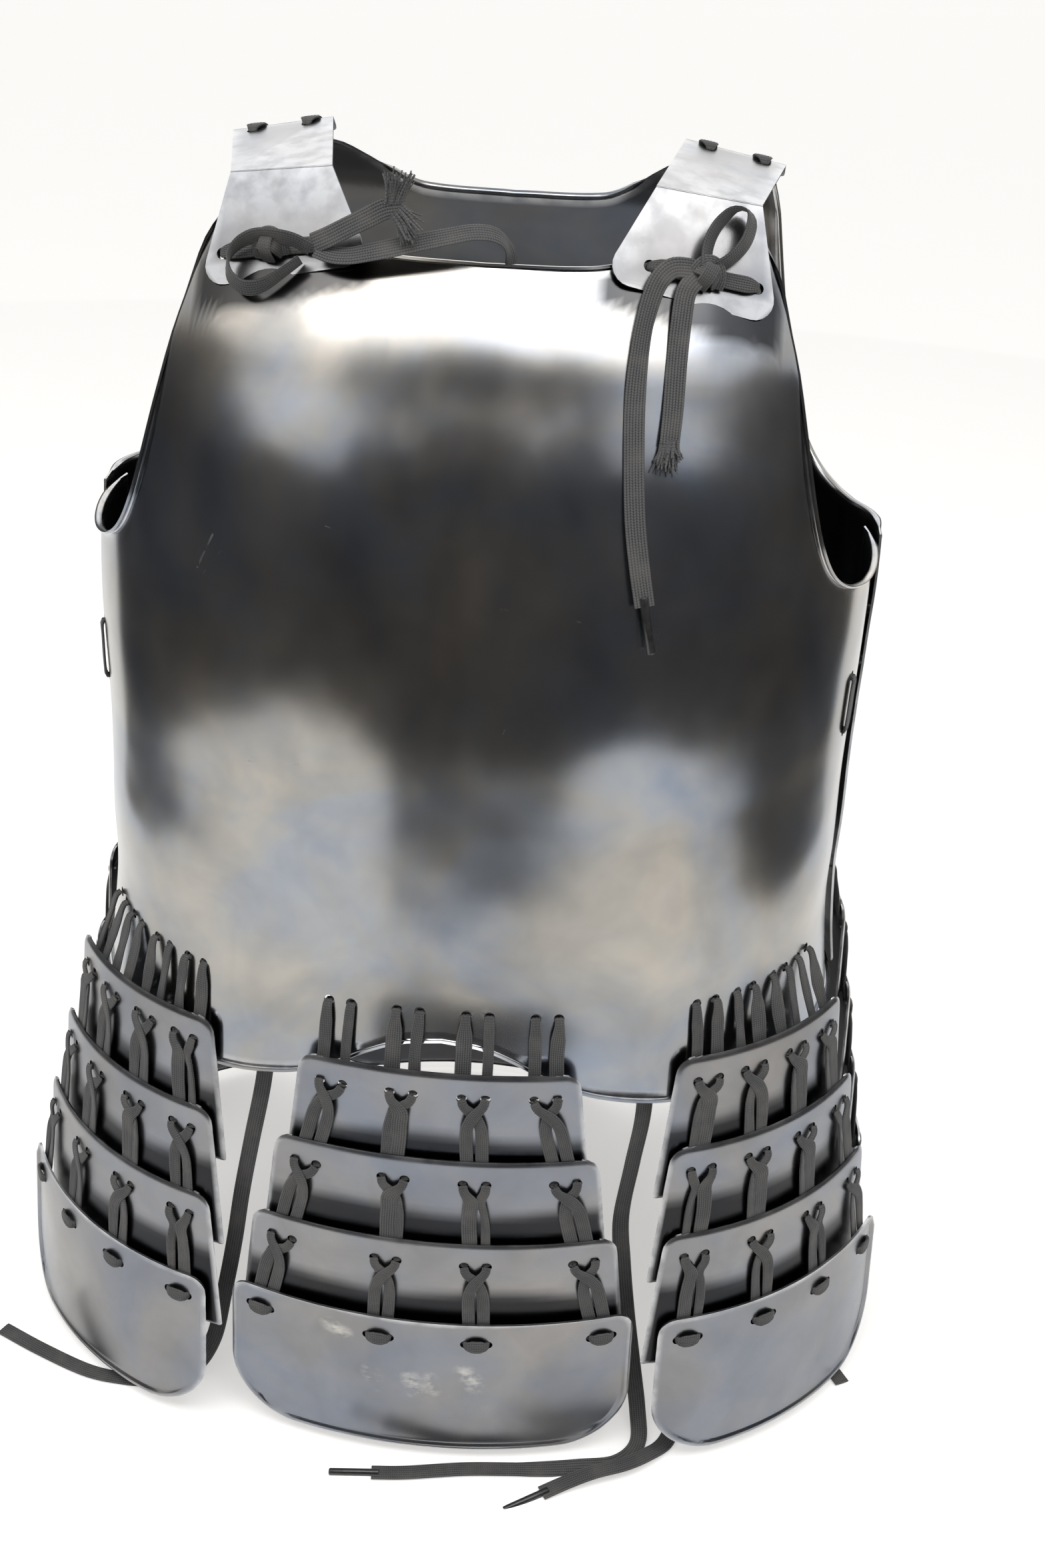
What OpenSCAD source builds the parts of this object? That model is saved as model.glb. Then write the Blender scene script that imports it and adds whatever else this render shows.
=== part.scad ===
// Samurai body armour: a two-piece steel cuirass with shoulder plates and a laced skirt.
// Millimetres. +Z is up, the front faces -Y and +X is the wearer's left.
// The origin lies on the axis of the trunk, level with the lacing row at the waist.

/* [Cuirass] */
// Half width of the cuirass at the chest
chest_half = 192.5; // [188:0.5:198]
// Half width of the cuirass at the waist
waist_half = 193.5; // [188:0.5:198]
// Half width of the cuirass at the level of the shoulder tabs
shoulder_half = 161; // [156:0.5:168]
// Half width of the straight part of the neckline
neck_half = 50; // [46:0.5:54]
// Distance from the middle to the outer edge of each shoulder tab
tab_half = 122; // [118:0.5:126]
// Depth of the breastplate in front of the side seam at the waist
front_depth = 162; // [157:0.5:167]
// Depth of the backplate behind the side seam at the waist
back_depth = 112; // [106:0.5:118]
// Height of the neckline above the lacing row
neck_h = 333; // [320:1:346]
// Height of the armholes above the lacing row
armhole_h = 195; // [186:1:204]
// Drop of the skirt edge below the lacing row at the sides
skirt_drop = 50; // [44:0.5:54]
// Rise of the arch in the skirt edge at the middle of the front
front_arch = 37; // [25:0.5:40]
// Thickness of the steel
steel_t = 1.2; // [0.8:0.1:1.6]
// Width of the lip turned outwards along neck, armholes and skirt edge
lip_w = 3; // [1.5:0.25:3.5]
// Clear gap between breastplate and backplate where they overlap
seam_gap = 4; // [2.5:0.25:5]
// Length of backplate that reaches in front of the side seam
seam_lap = 8; // [4:0.5:10]
// Length of breastplate that reaches behind the side seam
seam_tuck = 12; // [6:0.5:16]

/* [Shoulder plates] */
// Distance of the corners of each shoulder plate from the curved breastplate under it
shoulder_gap = 6.6; // [6.6:0.1:7.6]
// Distance of their crease from the same curve
crease_gap = 4.5; // [4.3:0.1:5.5]
// Radius of the corners of the shoulder plates
shoulder_r = 9; // [4:0.5:12]

/* [Skirt of laced plates] */
// Drop of the first row of lace holes below the lacing row of the cuirass
first_drop = 38; // [33:0.5:42]
// Distance from one row of holes to the next
row_pitch = 50; // [48:0.5:54]
// Steel above the holes of a plate
top_margin = 13.5; // [12:0.5:17]
// Height of the three upper plates of each hanging
plate_h = 82; // [72:1:88]
// Height of the bottom plate of each hanging
last_plate_h = 92; // [82:1:93]
// Steel beside the outermost pair of laces
side_margin = 16; // [13:0.5:17]
// Distance between the middles of two plates that overlap
plate_gap = 5.25; // [5.25:0.05:6.5]
// Lean of the side edges of a plate in degrees
edge_lean = 7; // [4:0.5:7.5]
// Radius of the upper corners of a plate
corner_r = 9; // [4:0.5:12]
// Radius of the lower corners of the bottom plates
last_corner_r = 36; // [15:1:42]

/* [Lacing] */
// Diameter of the lace holes
hole_d = 5.2; // [4.6:0.1:6]
// Distance between the two holes of a pair
pair_gap = 11.5; // [10.5:0.25:12.5]
// Width of a lace laid flat
lace_w = 9; // [7:0.5:10]
// Thickness of a lace laid flat
lace_t = 1.8; // [1.2:0.1:2]
// Clearance between a lace and the steel that it lies on
lace_clear = 0.35; // [0.3:0.05:0.6]
// Diameter of a lace bunched in a hole
bunch_d = 3.4; // [2.6:0.1:3.8]
// Radius of the knots on the shoulder plates
knot_r = 6; // [5:0.5:7]

/* [Hidden] */
$fn = 36;
STEEL = [0.30, 0.32, 0.34];
DARK_STEEL = [0.17, 0.18, 0.20];
LACE = [0.12, 0.12, 0.13];
COLUMNS = 28;
ROWS = 18;
// Exponents that square up the oval section in front and behind
FRONT_POWER = 2.35;
BACK_POWER = 2.3;

function unit(v) = v / norm(v);
function mix(a, b, f) = a + (b - a) * f;
function ease(f) = let (g = min(1, max(0, f))) g * g * (3 - 2 * g);
function slope(k, i) =
    let (a = max(i - 1, 0), b = min(i + 1, len(k) - 1))
    (k[b][1] - k[a][1]) / (k[b][0] - k[a][0]);
function span(x, k, i = 0) = i >= len(k) - 2 || x < k[i + 1][0] ? i : span(x, k, i + 1);
// Smooth curve through the key points [x, value]
function curve(x, k) =
    let (i = span(x, k),
         h = k[i + 1][0] - k[i][0],
         s = (x - k[i][0]) / h,
         m0 = slope(k, i) * h,
         m1 = slope(k, i + 1) * h)
    (2 * pow(s, 3) - 3 * s * s + 1) * k[i][1] + (pow(s, 3) - 2 * s * s + s) * m0
    + (3 * s * s - 2 * pow(s, 3)) * k[i + 1][1] + (pow(s, 3) - s * s) * m1;

// Height at a share of the way from the armholes up to the neckline
function height(f) = armhole_h + f * (neck_h - armhole_h);

// Half width, front depth and back depth of the cuirass against height
HALF = [
    [-60, waist_half + 8], [-25, waist_half + 3], [10, waist_half], [40, waist_half],
    [90, chest_half - 0.5], [armhole_h - 28, chest_half], [armhole_h + 12, chest_half - 1.5],
    [height(0.37), chest_half - 5], [height(0.56), chest_half - 9],
    [height(0.72), shoulder_half + 17], [height(0.88), shoulder_half + 9],
    [height(1.08), shoulder_half], [height(1.25), shoulder_half - 9]];
FRONT = [
    [-60, front_depth + 9], [-25, front_depth + 5], [10, front_depth], [50, front_depth - 3],
    [100, front_depth - 1], [armhole_h - 50, front_depth], [armhole_h - 10, front_depth - 4],
    [height(0.18), front_depth - 13], [height(0.438), front_depth - 28],
    [height(0.686), front_depth - 50], [height(0.865), front_depth - 66],
    [height(1.011), front_depth - 78], [height(1.157), front_depth - 90]];
BACK = [
    [-60, back_depth + 8], [-25, back_depth + 4], [10, back_depth], [50, back_depth - 4],
    [110, back_depth + 3], [armhole_h - 17, back_depth + 9], [height(0.326), back_depth + 6],
    [height(0.663), back_depth - 8], [height(0.865), back_depth - 22],
    [height(1.012), back_depth - 36], [height(1.124), back_depth - 54],
    [height(1.214), back_depth - 82], [height(1.275), back_depth - 102],
    [height(1.326), back_depth - 111]];

// Top and bottom edges against the distance from the middle
TOP_FRONT = [
    [0, neck_h], [neck_half - 5, neck_h + 1], [neck_half + 10, neck_h + 4],
    [neck_half + 22, neck_h + 11], [neck_half + 34, neck_h + 17.5],
    [tab_half - 24, height(1.135)], [tab_half - 12, height(1.13)], [tab_half - 5, height(1.1)],
    [tab_half, height(1.035)], [tab_half + 5, height(0.95)], [tab_half + 9, height(0.85)],
    [tab_half + 15, height(0.71)], [tab_half + 20.5, height(0.54)], [tab_half + 26, height(0.37)],
    [tab_half + 32, height(0.22)], [tab_half + 39, height(0.11)], [tab_half + 48, height(0.04)],
    [chest_half - 12, armhole_h + 0.7], [chest_half - 5, armhole_h], [chest_half, armhole_h + 1]];
BOTTOM_FRONT = [
    [0, front_arch - skirt_drop], [20, front_arch * 0.93 - skirt_drop],
    [38, front_arch * 0.73 - skirt_drop], [48, front_arch * 0.57 - skirt_drop],
    [60, front_arch * 0.40 - skirt_drop], [80, front_arch * 0.21 - skirt_drop],
    [110, front_arch * 0.05 - skirt_drop], [150, -skirt_drop], [220, -skirt_drop]];
TOP_BACK = [
    [0, neck_h + 5], [neck_half - 5, neck_h + 7], [neck_half + 10, neck_h + 14],
    [neck_half + 22, neck_h + 26], [neck_half + 32, neck_h + 33.5],
    [tab_half - 24, neck_h + 34.5], [tab_half - 6, neck_h + 31.5], [tab_half + 2, neck_h + 26.5],
    [tab_half + 8, height(1.067)], [tab_half + 12, height(0.92)], [tab_half + 17, height(0.74)],
    [tab_half + 23, height(0.54)], [tab_half + 29, height(0.38)], [tab_half + 36, height(0.24)],
    [tab_half + 45, height(0.13)], [chest_half - 14, height(0.06)], [chest_half - 4, height(0.04)],
    [chest_half, height(0.03)]];
BOTTOM_BACK = [[0, -skirt_drop], [220, -skirt_drop]];

// Rim of an oval section: distance from the side seam at distance x from the middle
function rim(x, half, depth, p) = depth * pow(max(0, 1 - pow(min(1, abs(x) / half), p)), 1 / p);
function front_y(x, z) = -rim(x, curve(z, HALF), curve(z, FRONT), FRONT_POWER);
function back_y(x, z) = rim(x, curve(z, HALF), curve(z, BACK), BACK_POWER);
// Lip along the top edges: it fades where a shoulder plate lies on the tab
function top_lip(x) = lip_w * (1 - 0.9 * ease((x - neck_half - 10) / 8) * ease((tab_half + 2 - x) / 6));
// Outward step of the backplate where it covers the breastplate's edge
function seam_step(share) = (seam_gap + steel_t) * ease((share - 0.965) / 0.03);

function column_x(t, z, p) =
    let (x = chest_half * pow(sin(t), 2 / p))
    x * (1 + ease((t - 45) / 45) * (curve(z, HALF) / chest_half - 1));
function front_point(t, z) =
    let (a = abs(t), s = sign(t), half = curve(z, HALF), x = column_x(min(a, 90), z, FRONT_POWER))
    a <= 90 ? [s * x, front_y(x, z), z]
    : [s * half * pow(sin(a), 2 / BACK_POWER), curve(z, BACK) * pow(-cos(a), 2 / BACK_POWER), z];
function back_point(t, z) =
    let (a = abs(t), s = -sign(t), half = curve(z, HALF),
         x = a <= 90 ? column_x(a, z, BACK_POWER) : half * pow(sin(a), 2 / FRONT_POWER),
         y = a <= 90 ? back_y(x, z) : -curve(z, FRONT) * pow(-cos(a), 2 / FRONT_POWER))
    [s * (x + seam_step(x / half)), y, z];

FRONT_TURN = 90 + asin(pow(seam_tuck / back_depth, BACK_POWER / 2));
BACK_TURN = 90 + asin(pow(seam_lap / front_depth, FRONT_POWER / 2));

// Rows of points of one shell: skirt lip, plate, then the lip round neck and armholes
function shell_grid(front) =
    let (turn = front ? FRONT_TURN : BACK_TURN,
         power = front ? FRONT_POWER : BACK_POWER,
         at = function (t, z) front ? front_point(t, z) : back_point(t, z),
         reach = function (t) chest_half * pow(sin(min(90, abs(t))), 2 / power),
         top = function (t) curve(reach(t), front ? TOP_FRONT : TOP_BACK),
         low = function (t) curve(reach(t), front ? BOTTOM_FRONT : BOTTOM_BACK),
         ts = [for (i = [0 : 2 * COLUMNS]) turn * (i - COLUMNS) / COLUMNS],
         out = function (t, z) unit(cross(at(t + 0.4, z) - at(t - 0.4, z), at(t, z + 1) - at(t, z - 1))),
         rise = function (t, edge) unit(cross(out(t, edge(t)),
             at(t + 0.6, edge(t + 0.6)) - at(t - 0.6, edge(t - 0.6)))),
         lip = function (t, edge, way, reach_out, past)
             at(t, edge(t)) + out(t, edge(t)) * reach_out + rise(t, edge) * way * past)
    concat(
        [[for (t = ts) lip(t, low, -1, lip_w, 1.8)], [for (t = ts) lip(t, low, -1, 0.7, 1.2)]],
        [for (j = [0 : ROWS]) [for (t = ts) at(t, mix(low(t), top(t), j / ROWS))]],
        [[for (t = ts) lip(t, top, 1, top_lip(reach(t)) * 0.25, 1.2)],
         [for (t = ts) lip(t, top, 1, top_lip(reach(t)), 1.8)]]);

function grid_normal(g, j, i) =
    let (a = g[j][min(i + 1, len(g[j]) - 1)] - g[j][max(i - 1, 0)],
         b = g[min(j + 1, len(g) - 1)][i] - g[max(j - 1, 0)][i])
    unit(cross(a, b));

// A sheet of steel of even thickness along a grid of points
module shell(g) {
    nj = len(g);
    ni = len(g[0]);
    n = nj * ni;
    normals = [for (j = [0 : nj - 1]) [for (i = [0 : ni - 1]) grid_normal(g, j, i)]];
    outer = [for (j = [0 : nj - 1], i = [0 : ni - 1]) g[j][i] + normals[j][i] * steel_t / 2];
    inner = [for (j = [0 : nj - 1], i = [0 : ni - 1]) g[j][i] - normals[j][i] * steel_t / 2];
    sides = [for (j = [0 : nj - 2], i = [0 : ni - 2])
        let (a = j * ni + i, b = a + 1, c = b + ni, d = a + ni)
        each [[a, d, c], [a, c, b], [n + a, n + c, n + d], [n + a, n + b, n + c]]];
    ends = [for (i = [0 : ni - 2])
        let (a = i, b = i + 1, d = (nj - 1) * ni + i, c = d + 1)
        each [[a, b, n + b], [a, n + b, n + a], [c, d, n + d], [c, n + d, n + c]]];
    edges = [for (j = [0 : nj - 2])
        let (a = j * ni, d = a + ni, b = a + ni - 1, c = b + ni)
        each [[d, a, n + a], [d, n + a, n + d], [b, c, n + c], [b, n + c, n + b]]];
    polyhedron(concat(outer, inner), concat(sides, ends, edges), convexity = 8);
}

// Places its children in a frame [origin, x axis, z axis]
function frame(o, x, z) = let (w = unit(z), u = unit(x - w * (x * w))) [o, u, cross(w, u), w];
function place(f, p) = f[0] + f[1] * p.x + f[2] * p.y + f[3] * p.z;
module in_frame(f) {
    multmatrix([
        [f[1].x, f[2].x, f[3].x, f[0].x],
        [f[1].y, f[2].y, f[3].y, f[0].y],
        [f[1].z, f[2].z, f[3].z, f[0].z]]) children();
}

// Outline with each corner rounded to its own radius
function rounded(p, radii) = [for (i = [0 : len(p) - 1])
    let (a = p[(i + len(p) - 1) % len(p)], b = p[i], c = p[(i + 1) % len(p)], r = radii[i],
         u = unit(a - b), v = unit(c - b), half = acos(u * v) / 2, bend = 180 - 2 * half,
         o = b + unit(u + v) * r / sin(half),
         s = unit(b + u * r / tan(half) - o), e = unit(b + v * r / tan(half) - o))
    each r <= 0 ? [b] : [for (k = [0 : 6])
        o + r * (sin((1 - k / 6) * bend) * s + sin(k / 6 * bend) * e) / sin(bend)]];

// Hangings of the skirt: name, azimuth, distance of row 1 from the skirt edge of the cuirass, its
// side shift, side shift per row, lean, radius of row 1 and row 4, and the places of the inner and
// the outer lace pairs of row 1 and row 4
HANGINGS = [
    ["front", 0, 8.6, 0, 0, -2, 330, 290, 17.5, 25.5, 52.4, 91],
    ["front_left", 40, 9.4, 47, 4, 4, 145, 178, 14.5, 21, 41, 66],
    ["front_right", -40, 9.4, -47, -4, 4, 145, 178, 14.5, 21, 41, 66],
    ["back", 180, 10, 0, 0, 2, 260, 230, 17.5, 25.5, 52.4, 91],
    ["back_left", 128, 12, -62, 0, 4, 106, 142, 18.5, 27, 57, 84],
    ["back_right", -128, 12, 62, 0, 4, 106, 142, 18.5, 27, 57, 84]];

// How far the skirt edge of the cuirass reaches out in the direction of azimuth a
function edge_reach(a) =
    let (front = abs(a) < 90, p = front ? FRONT_POWER : BACK_POWER, q = p / (p - 1),
         d = curve(-skirt_drop, front ? FRONT : BACK))
    pow(pow(curve(-skirt_drop, HALF) * abs(sin(a)), q) + pow(d * abs(cos(a)), q), 1 / q);

function row_share(n) = (max(1, n) - 1) / 3;
function radius(h, n) = mix(h[6], h[7], row_share(n));
function inner_pair(h, n) = mix(h[8], h[9], row_share(n));
function outer_pair(h, n) = mix(h[10], h[11], row_share(n));
function pairs(h, n) = [-outer_pair(h, n), -inner_pair(h, n), inner_pair(h, n), outer_pair(h, n)];
function row_z(n) = -first_drop - (n - 1) * row_pitch;
function outward(a) = [sin(a), -cos(a), 0];
function along(a) = [cos(a), sin(a), 0];
// Step outwards from one row to the next
function row_step(h) = plate_gap + row_pitch * tan(h[5]);
function plate_origin(h, n) =
    outward(h[1]) * (edge_reach(h[1]) + h[2] + (n - 1) * row_step(h)) + along(h[1]) * (h[3] + (n - 1) * h[4])
    + [0, 0, row_z(n)];
// Point at an arc distance along the row of holes of a plate, on the middle of the steel
function on_plate(h, n, arc) =
    let (r = radius(h, n), a = arc / r * 180 / PI, d = r * (1 - cos(a)))
    plate_origin(h, n) + along(h[1]) * r * sin(a) - outward(h[1]) * d * cos(h[5]) - [0, 0, d * sin(h[5])];
function plate_out(h, n, arc) = outward(h[1] + arc / radius(h, n) * 180 / PI);

// Whether a point at the height of the lacing row lies inside the cuirass
function side_x(y) =
    let (half = curve(0, HALF), s = pow(1 - pow(min(1, max(0, y) / curve(0, BACK)), BACK_POWER), 1 / BACK_POWER))
    half * s + seam_step(s);
function inside(p) = p.y < -seam_lap - 4 ? p.y > front_y(p.x, 0) && abs(p.x) < curve(0, HALF)
    : abs(p.x) < side_x(p.y) && p.y < curve(0, BACK);
// Point where a line going inwards from p meets the middle of the cuirass's steel
function meet(p, n, low = 0, high = 45, steps = 18) =
    steps == 0 ? p - n * low
    : let (m = (low + high) / 2)
      inside(p - n * m) ? meet(p, n, low, m, steps - 1) : meet(p, n, m, high, steps - 1);
function on_cuirass(h, arc) =
    let (p = on_plate(h, 1, arc), n = plate_out(h, 1, arc))
    meet([p.x, p.y, 0], n);

// Place of a lace hole: row 0 is on the cuirass
function hole_at(h, n, arc) = n == 0 ? on_cuirass(h, arc) : on_plate(h, n, arc);
function hole_out(h, n, arc) = plate_out(h, max(1, n), arc);

module lace_bores(h, n) {
    for (c = pairs(h, n), s = [-1, 1]) {
        arc = c + s * pair_gap / 2;
        in_frame(frame(hole_at(h, n, arc), [0, 0, 1], hole_out(h, n, arc)))
            cylinder(d = hole_d, h = 14, center = true);
    }
}

// Frames of the flat parts of the left shoulder plate: front, top and rear
FRONT_IN = [neck_half - 1, front_y(neck_half - 1, neck_h) - shoulder_gap, neck_h];
FRONT_OUT = [tab_half + 5, front_y(tab_half + 5, neck_h - 18) - shoulder_gap, neck_h - 18];
CREASE_IN = [FRONT_IN.x + 21, front_y(FRONT_IN.x + 21, neck_h + 35) - crease_gap, neck_h + 35];
FRONT_FRAME = frame(FRONT_IN, FRONT_OUT - FRONT_IN, cross(FRONT_OUT - FRONT_IN, CREASE_IN - FRONT_IN));
CREASE_OUT = FRONT_IN + 0.57 * (FRONT_OUT - FRONT_IN) + 1.1 * (CREASE_IN - FRONT_IN);
CREST_IN = CREASE_IN + [12.5, 76, 10];
TOP_FRAME = frame(CREASE_IN, CREASE_OUT - CREASE_IN, cross(CREASE_OUT - CREASE_IN, CREST_IN - CREASE_IN));
CREST_OUT = CREASE_IN + 1.055 * (CREASE_OUT - CREASE_IN) + 0.857 * (CREST_IN - CREASE_IN);
REAR_IN = CREST_IN + [1, 16, -7];
REAR_OUT = REAR_IN + CREST_OUT - CREST_IN;
REAR_FRAME = frame(CREST_IN, CREST_OUT - CREST_IN, cross(CREST_OUT - CREST_IN, REAR_IN - CREST_IN));
// Tie holes in the front part and lace holes by the crest, in the part's own plane
TIE_HOLES = [[20, 11], [69, 14]];
CREST_SHARES = [0.22, 0.76];

function flat(f, p) = let (d = p - f[0]) [d * f[1], d * f[2]];

// One flat part of a shoulder plate, with its corner points in order
module flat_part(f, corners, radii) {
    in_frame(f)
        linear_extrude(steel_t, center = true)
            polygon(rounded([for (c = corners) flat(f, c)], radii));
}

module bend_rod(a, b) {
    in_frame(frame(a, [0, 0, 1], b - a)) cylinder(d = steel_t + 0.16, h = norm(b - a));
}

function crest_point(share) = mix(CREST_IN, CREST_OUT, share);

module tie_bores(d, depth) {
    for (p = TIE_HOLES)
        in_frame(FRONT_FRAME)
            translate([p.x, p.y, -depth])
                cylinder(d = d, h = depth + 3);
}

module crest_bores() {
    for (s = CREST_SHARES) {
        in_frame(frame(crest_point(s), TOP_FRAME[1], TOP_FRAME[3]))
            translate([0, -6, -4])
                cylinder(d = hole_d, h = 8);
        in_frame(frame(crest_point(s), REAR_FRAME[1], REAR_FRAME[3]))
            translate([0, 22, -14])
                cylinder(d = hole_d, h = 16);
    }
}

module shoulder_plate() {
    color(STEEL)
        difference() {
            union() {
                flat_part(FRONT_FRAME, [FRONT_IN, FRONT_OUT, CREASE_OUT, CREASE_IN],
                    [shoulder_r, shoulder_r, 0, 0]);
                flat_part(TOP_FRAME, [CREASE_IN, CREASE_OUT, CREST_OUT, CREST_IN], [0, 0, 0, 0]);
                flat_part(REAR_FRAME, [CREST_IN, CREST_OUT, REAR_OUT, REAR_IN], [0, 0, 5, 5]);
                bend_rod(CREASE_IN, CREASE_OUT);
                bend_rod(CREST_IN, CREST_OUT);
            }
            tie_bores(hole_d, 3);
            crest_bores();
        }
}

// Holes of the side ties: height above the lacing row and distance from the side seam
SIDE_TIE_Z = [117, 147];
SIDE_TIE_FRONT = 62;
SIDE_TIE_BACK = 30;
function side_half(y, z, front) =
    let (d = curve(z, front ? FRONT : BACK), p = front ? FRONT_POWER : BACK_POWER)
    let (s = pow(1 - pow(abs(y) / d, p), 1 / p))
    curve(z, HALF) * s + (front ? 0 : seam_step(s));
function side_frame(z, front) =
    let (y = front ? -SIDE_TIE_FRONT : SIDE_TIE_BACK,
         a = side_half(y - 2, z, front), b = side_half(y + 2, z, front))
    frame([side_half(y, z, front), y, z], [0, 0, 1], [4, a - b, 0]);

module side_bores(front) {
    for (z = SIDE_TIE_Z)
        in_frame(side_frame(z, front))
            cylinder(d = hole_d, h = 16, center = true);
}

module breastplate() {
    color(DARK_STEEL)
        difference() {
            shell(shell_grid(true));
            for (h = [HANGINGS[0], HANGINGS[1], HANGINGS[2]]) lace_bores(h, 0);
            for (m = [0, 1]) mirror([m, 0, 0]) {
                tie_bores(hole_d, 14);
                side_bores(true);
            }
        }
}

module backplate() {
    color(DARK_STEEL)
        difference() {
            shell(shell_grid(false));
            for (h = [HANGINGS[3], HANGINGS[4], HANGINGS[5]]) lace_bores(h, 0);
            for (m = [0, 1]) mirror([m, 0, 0]) {
                crest_bores();
                side_bores(false);
            }
        }
}

module shoulder_plate_left() shoulder_plate();
module shoulder_plate_right() mirror([1, 0, 0]) shoulder_plate();

// One plate of a hanging, curved round the hips
module skirt_plate(h, n) {
    r = radius(h, n);
    tall = n == 4 ? last_plate_h : plate_h;
    low = n == 4 ? last_corner_r : 1.5;
    top_half = r * sin((outer_pair(h, n) + side_margin) / r * 180 / PI);
    spread = n == 4 ? 3 : tall * tan(edge_lean);
    low_half = r * sin((outer_pair(h, n) + side_margin + spread) / r * 180 / PI);
    sag = r - sqrt(r * r - low_half * low_half);
    outline = rounded([
        [-low_half, top_margin - tall], [low_half, top_margin - tall],
        [top_half, top_margin], [-top_half, top_margin]], [low, low, corner_r, corner_r]);
    color(STEEL)
        difference() {
            translate(plate_origin(h, n))
                rotate([-h[5], 0, h[1]])
                    intersection() {
                        translate([0, r, -tall])
                            difference() {
                                cylinder(r = r + steel_t / 2, h = 2 * tall, $fn = 180);
                                translate([0, 0, -1])
                                    cylinder(r = r - steel_t / 2, h = 2 * tall + 2, $fn = 180);
                            }
                        translate([0, sag + 4, 0])
                            rotate([90, 0, 0])
                                linear_extrude(sag + 8)
                                    polygon(outline);
                    }
            lace_bores(h, n);
        }
}

// Outline of one of the two laces of a pair, from its hole to where it ends behind the next plate
function strand(s, drop, crossed) =
    let (w = lace_w / 2, x = s * pair_gap / 2, b = bunch_d * 0.43, e = crossed ? -s * (w + 0.1) : s * (w + 0.6),
         y = crossed ? -20 : -9)
    [[x - b, 0.4], [x + b, 0.4], [e + w, y - 1], [e + w, -drop], [e - w, -drop], [e - w, y + 1]];

// The laces from the holes of row n - 1 down to the back of plate n
module lace_group(h, n) {
    up = pairs(h, n - 1);
    down = pairs(h, n);
    lift = steel_t / 2 + lace_clear + lace_t / 2 + (n == 1 ? 0.5 : 0.1);
    color(LACE)
        union() {
            for (k = [0 : 3]) {
                a = hole_at(h, n - 1, n == 1 ? down[k] : up[k]) + hole_out(h, n - 1, up[k]) * lift;
                b = hole_at(h, n, down[k]) - hole_out(h, n, down[k]) * (lift + 0.1);
                out = hole_out(h, n - 1, up[k]) + hole_out(h, n, down[k]);
                f = frame(a, cross(a - b, out), cross(cross(a - b, out), a - b));
                drop = norm(b - a) + 1.5;
                in_frame(f) {
                    translate([0, 0, -lace_t / 2])
                        linear_extrude(lace_t * 0.9)
                            polygon(strand(1, drop, n > 1));
                    translate([0, 0, -lace_t * 0.4])
                        linear_extrude(lace_t * 0.9)
                            polygon(strand(-1, drop, n > 1));
                }
                for (s = [-1, 1]) {
                    arc = (n == 1 ? down[k] : up[k]) + s * pair_gap / 2;
                    in_frame(frame(hole_at(h, n - 1, arc), [0, 0, 1], hole_out(h, n - 1, arc)))
                        translate([0, 0, -0.3])
                            cylinder(d = bunch_d, h = lift + 0.3);
                }
                if (n == 4) end_stitch(h, down[k]);
            }
        }
}

// The stitch that shows on the face of a bottom plate
module end_stitch(h, c) {
    lift = steel_t / 2 + lace_clear;
    in_frame(frame(on_plate(h, 4, c), along(h[1] + c / radius(h, 4) * 180 / PI), plate_out(h, 4, c)))
        translate([0, 0, lift])
            linear_extrude(lace_t)
                polygon(rounded([[-8.5, -3.6], [8.5, -3.6], [8.5, 3.6], [-8.5, 3.6]], [3.4, 3.4, 3.4, 3.4]));
    for (s = [-1, 1]) {
        arc = c + s * pair_gap / 2;
        in_frame(frame(on_plate(h, 4, arc), [0, 0, 1], plate_out(h, 4, arc)))
            translate([0, 0, -lift - lace_t - 0.6])
                cylinder(d = bunch_d, h = 2 * lift + lace_t + 1);
    }
}

// Side tie: a stitch on the breastplate, a strand inside and a stitch on the backplate
module side_tie() {
    tall = SIDE_TIE_Z[1] - SIDE_TIE_Z[0];
    mid = (SIDE_TIE_Z[0] + SIDE_TIE_Z[1]) / 2;
    lift = steel_t / 2 + lace_clear;
    a = side_frame(mid, true);
    b = side_frame(mid, false);
    ins = [a[0] - a[3] * (lift + 1.2), b[0] - b[3] * (lift + 1.2)];
    color(LACE)
        union() {
            for (front = [true, false]) {
                f = front ? a : b;
                in_frame(f)
                    translate([-tall / 2 - 2, -lace_w / 2, lift])
                        cube([tall + 4, lace_w, lace_t]);
                for (z = SIDE_TIE_Z)
                    in_frame(side_frame(z, front))
                        translate([0, 0, -lift - 2.2])
                            cylinder(d = bunch_d, h = 2 * lift + 2.6);
            }
            for (z = SIDE_TIE_Z)
                in_frame(frame([ins[0].x, ins[0].y, z], ins[1] - ins[0], [ins[1].y - ins[0].y, ins[0].x - ins[1].x, 0]))
                    translate([-1, -lace_w / 2, -lace_t])
                        cube([norm(ins[1] - ins[0]) + 2, lace_w, lace_t]);
        }
}
module side_tie_left() side_tie();
module side_tie_right() mirror([1, 0, 0]) side_tie();

// Laces that hold the rear end of a shoulder plate to the tab of the backplate
module crest_laces() {
    lift = steel_t / 2 + lace_clear;
    color(LACE)
        union() {
            for (s = CREST_SHARES) {
                t = frame(crest_point(s), TOP_FRAME[1], TOP_FRAME[3]);
                r = frame(crest_point(s), REAR_FRAME[1], REAR_FRAME[3]);
                in_frame(t) {
                    translate([-lace_w / 2, -8, lift]) cube([lace_w, 9, lace_t]);
                    translate([0, -6, -lift - 1.6]) cylinder(d = bunch_d, h = 2 * lift + 2.2);
                }
                in_frame(r) {
                    translate([-lace_w / 2, -1, lift]) cube([lace_w, 25, lace_t]);
                    translate([0, 22, -9]) cylinder(d = bunch_d, h = 10.4);
                }
            }
        }
}
module crest_laces_left() crest_laces();
module crest_laces_right() mirror([1, 0, 0]) crest_laces();

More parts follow.
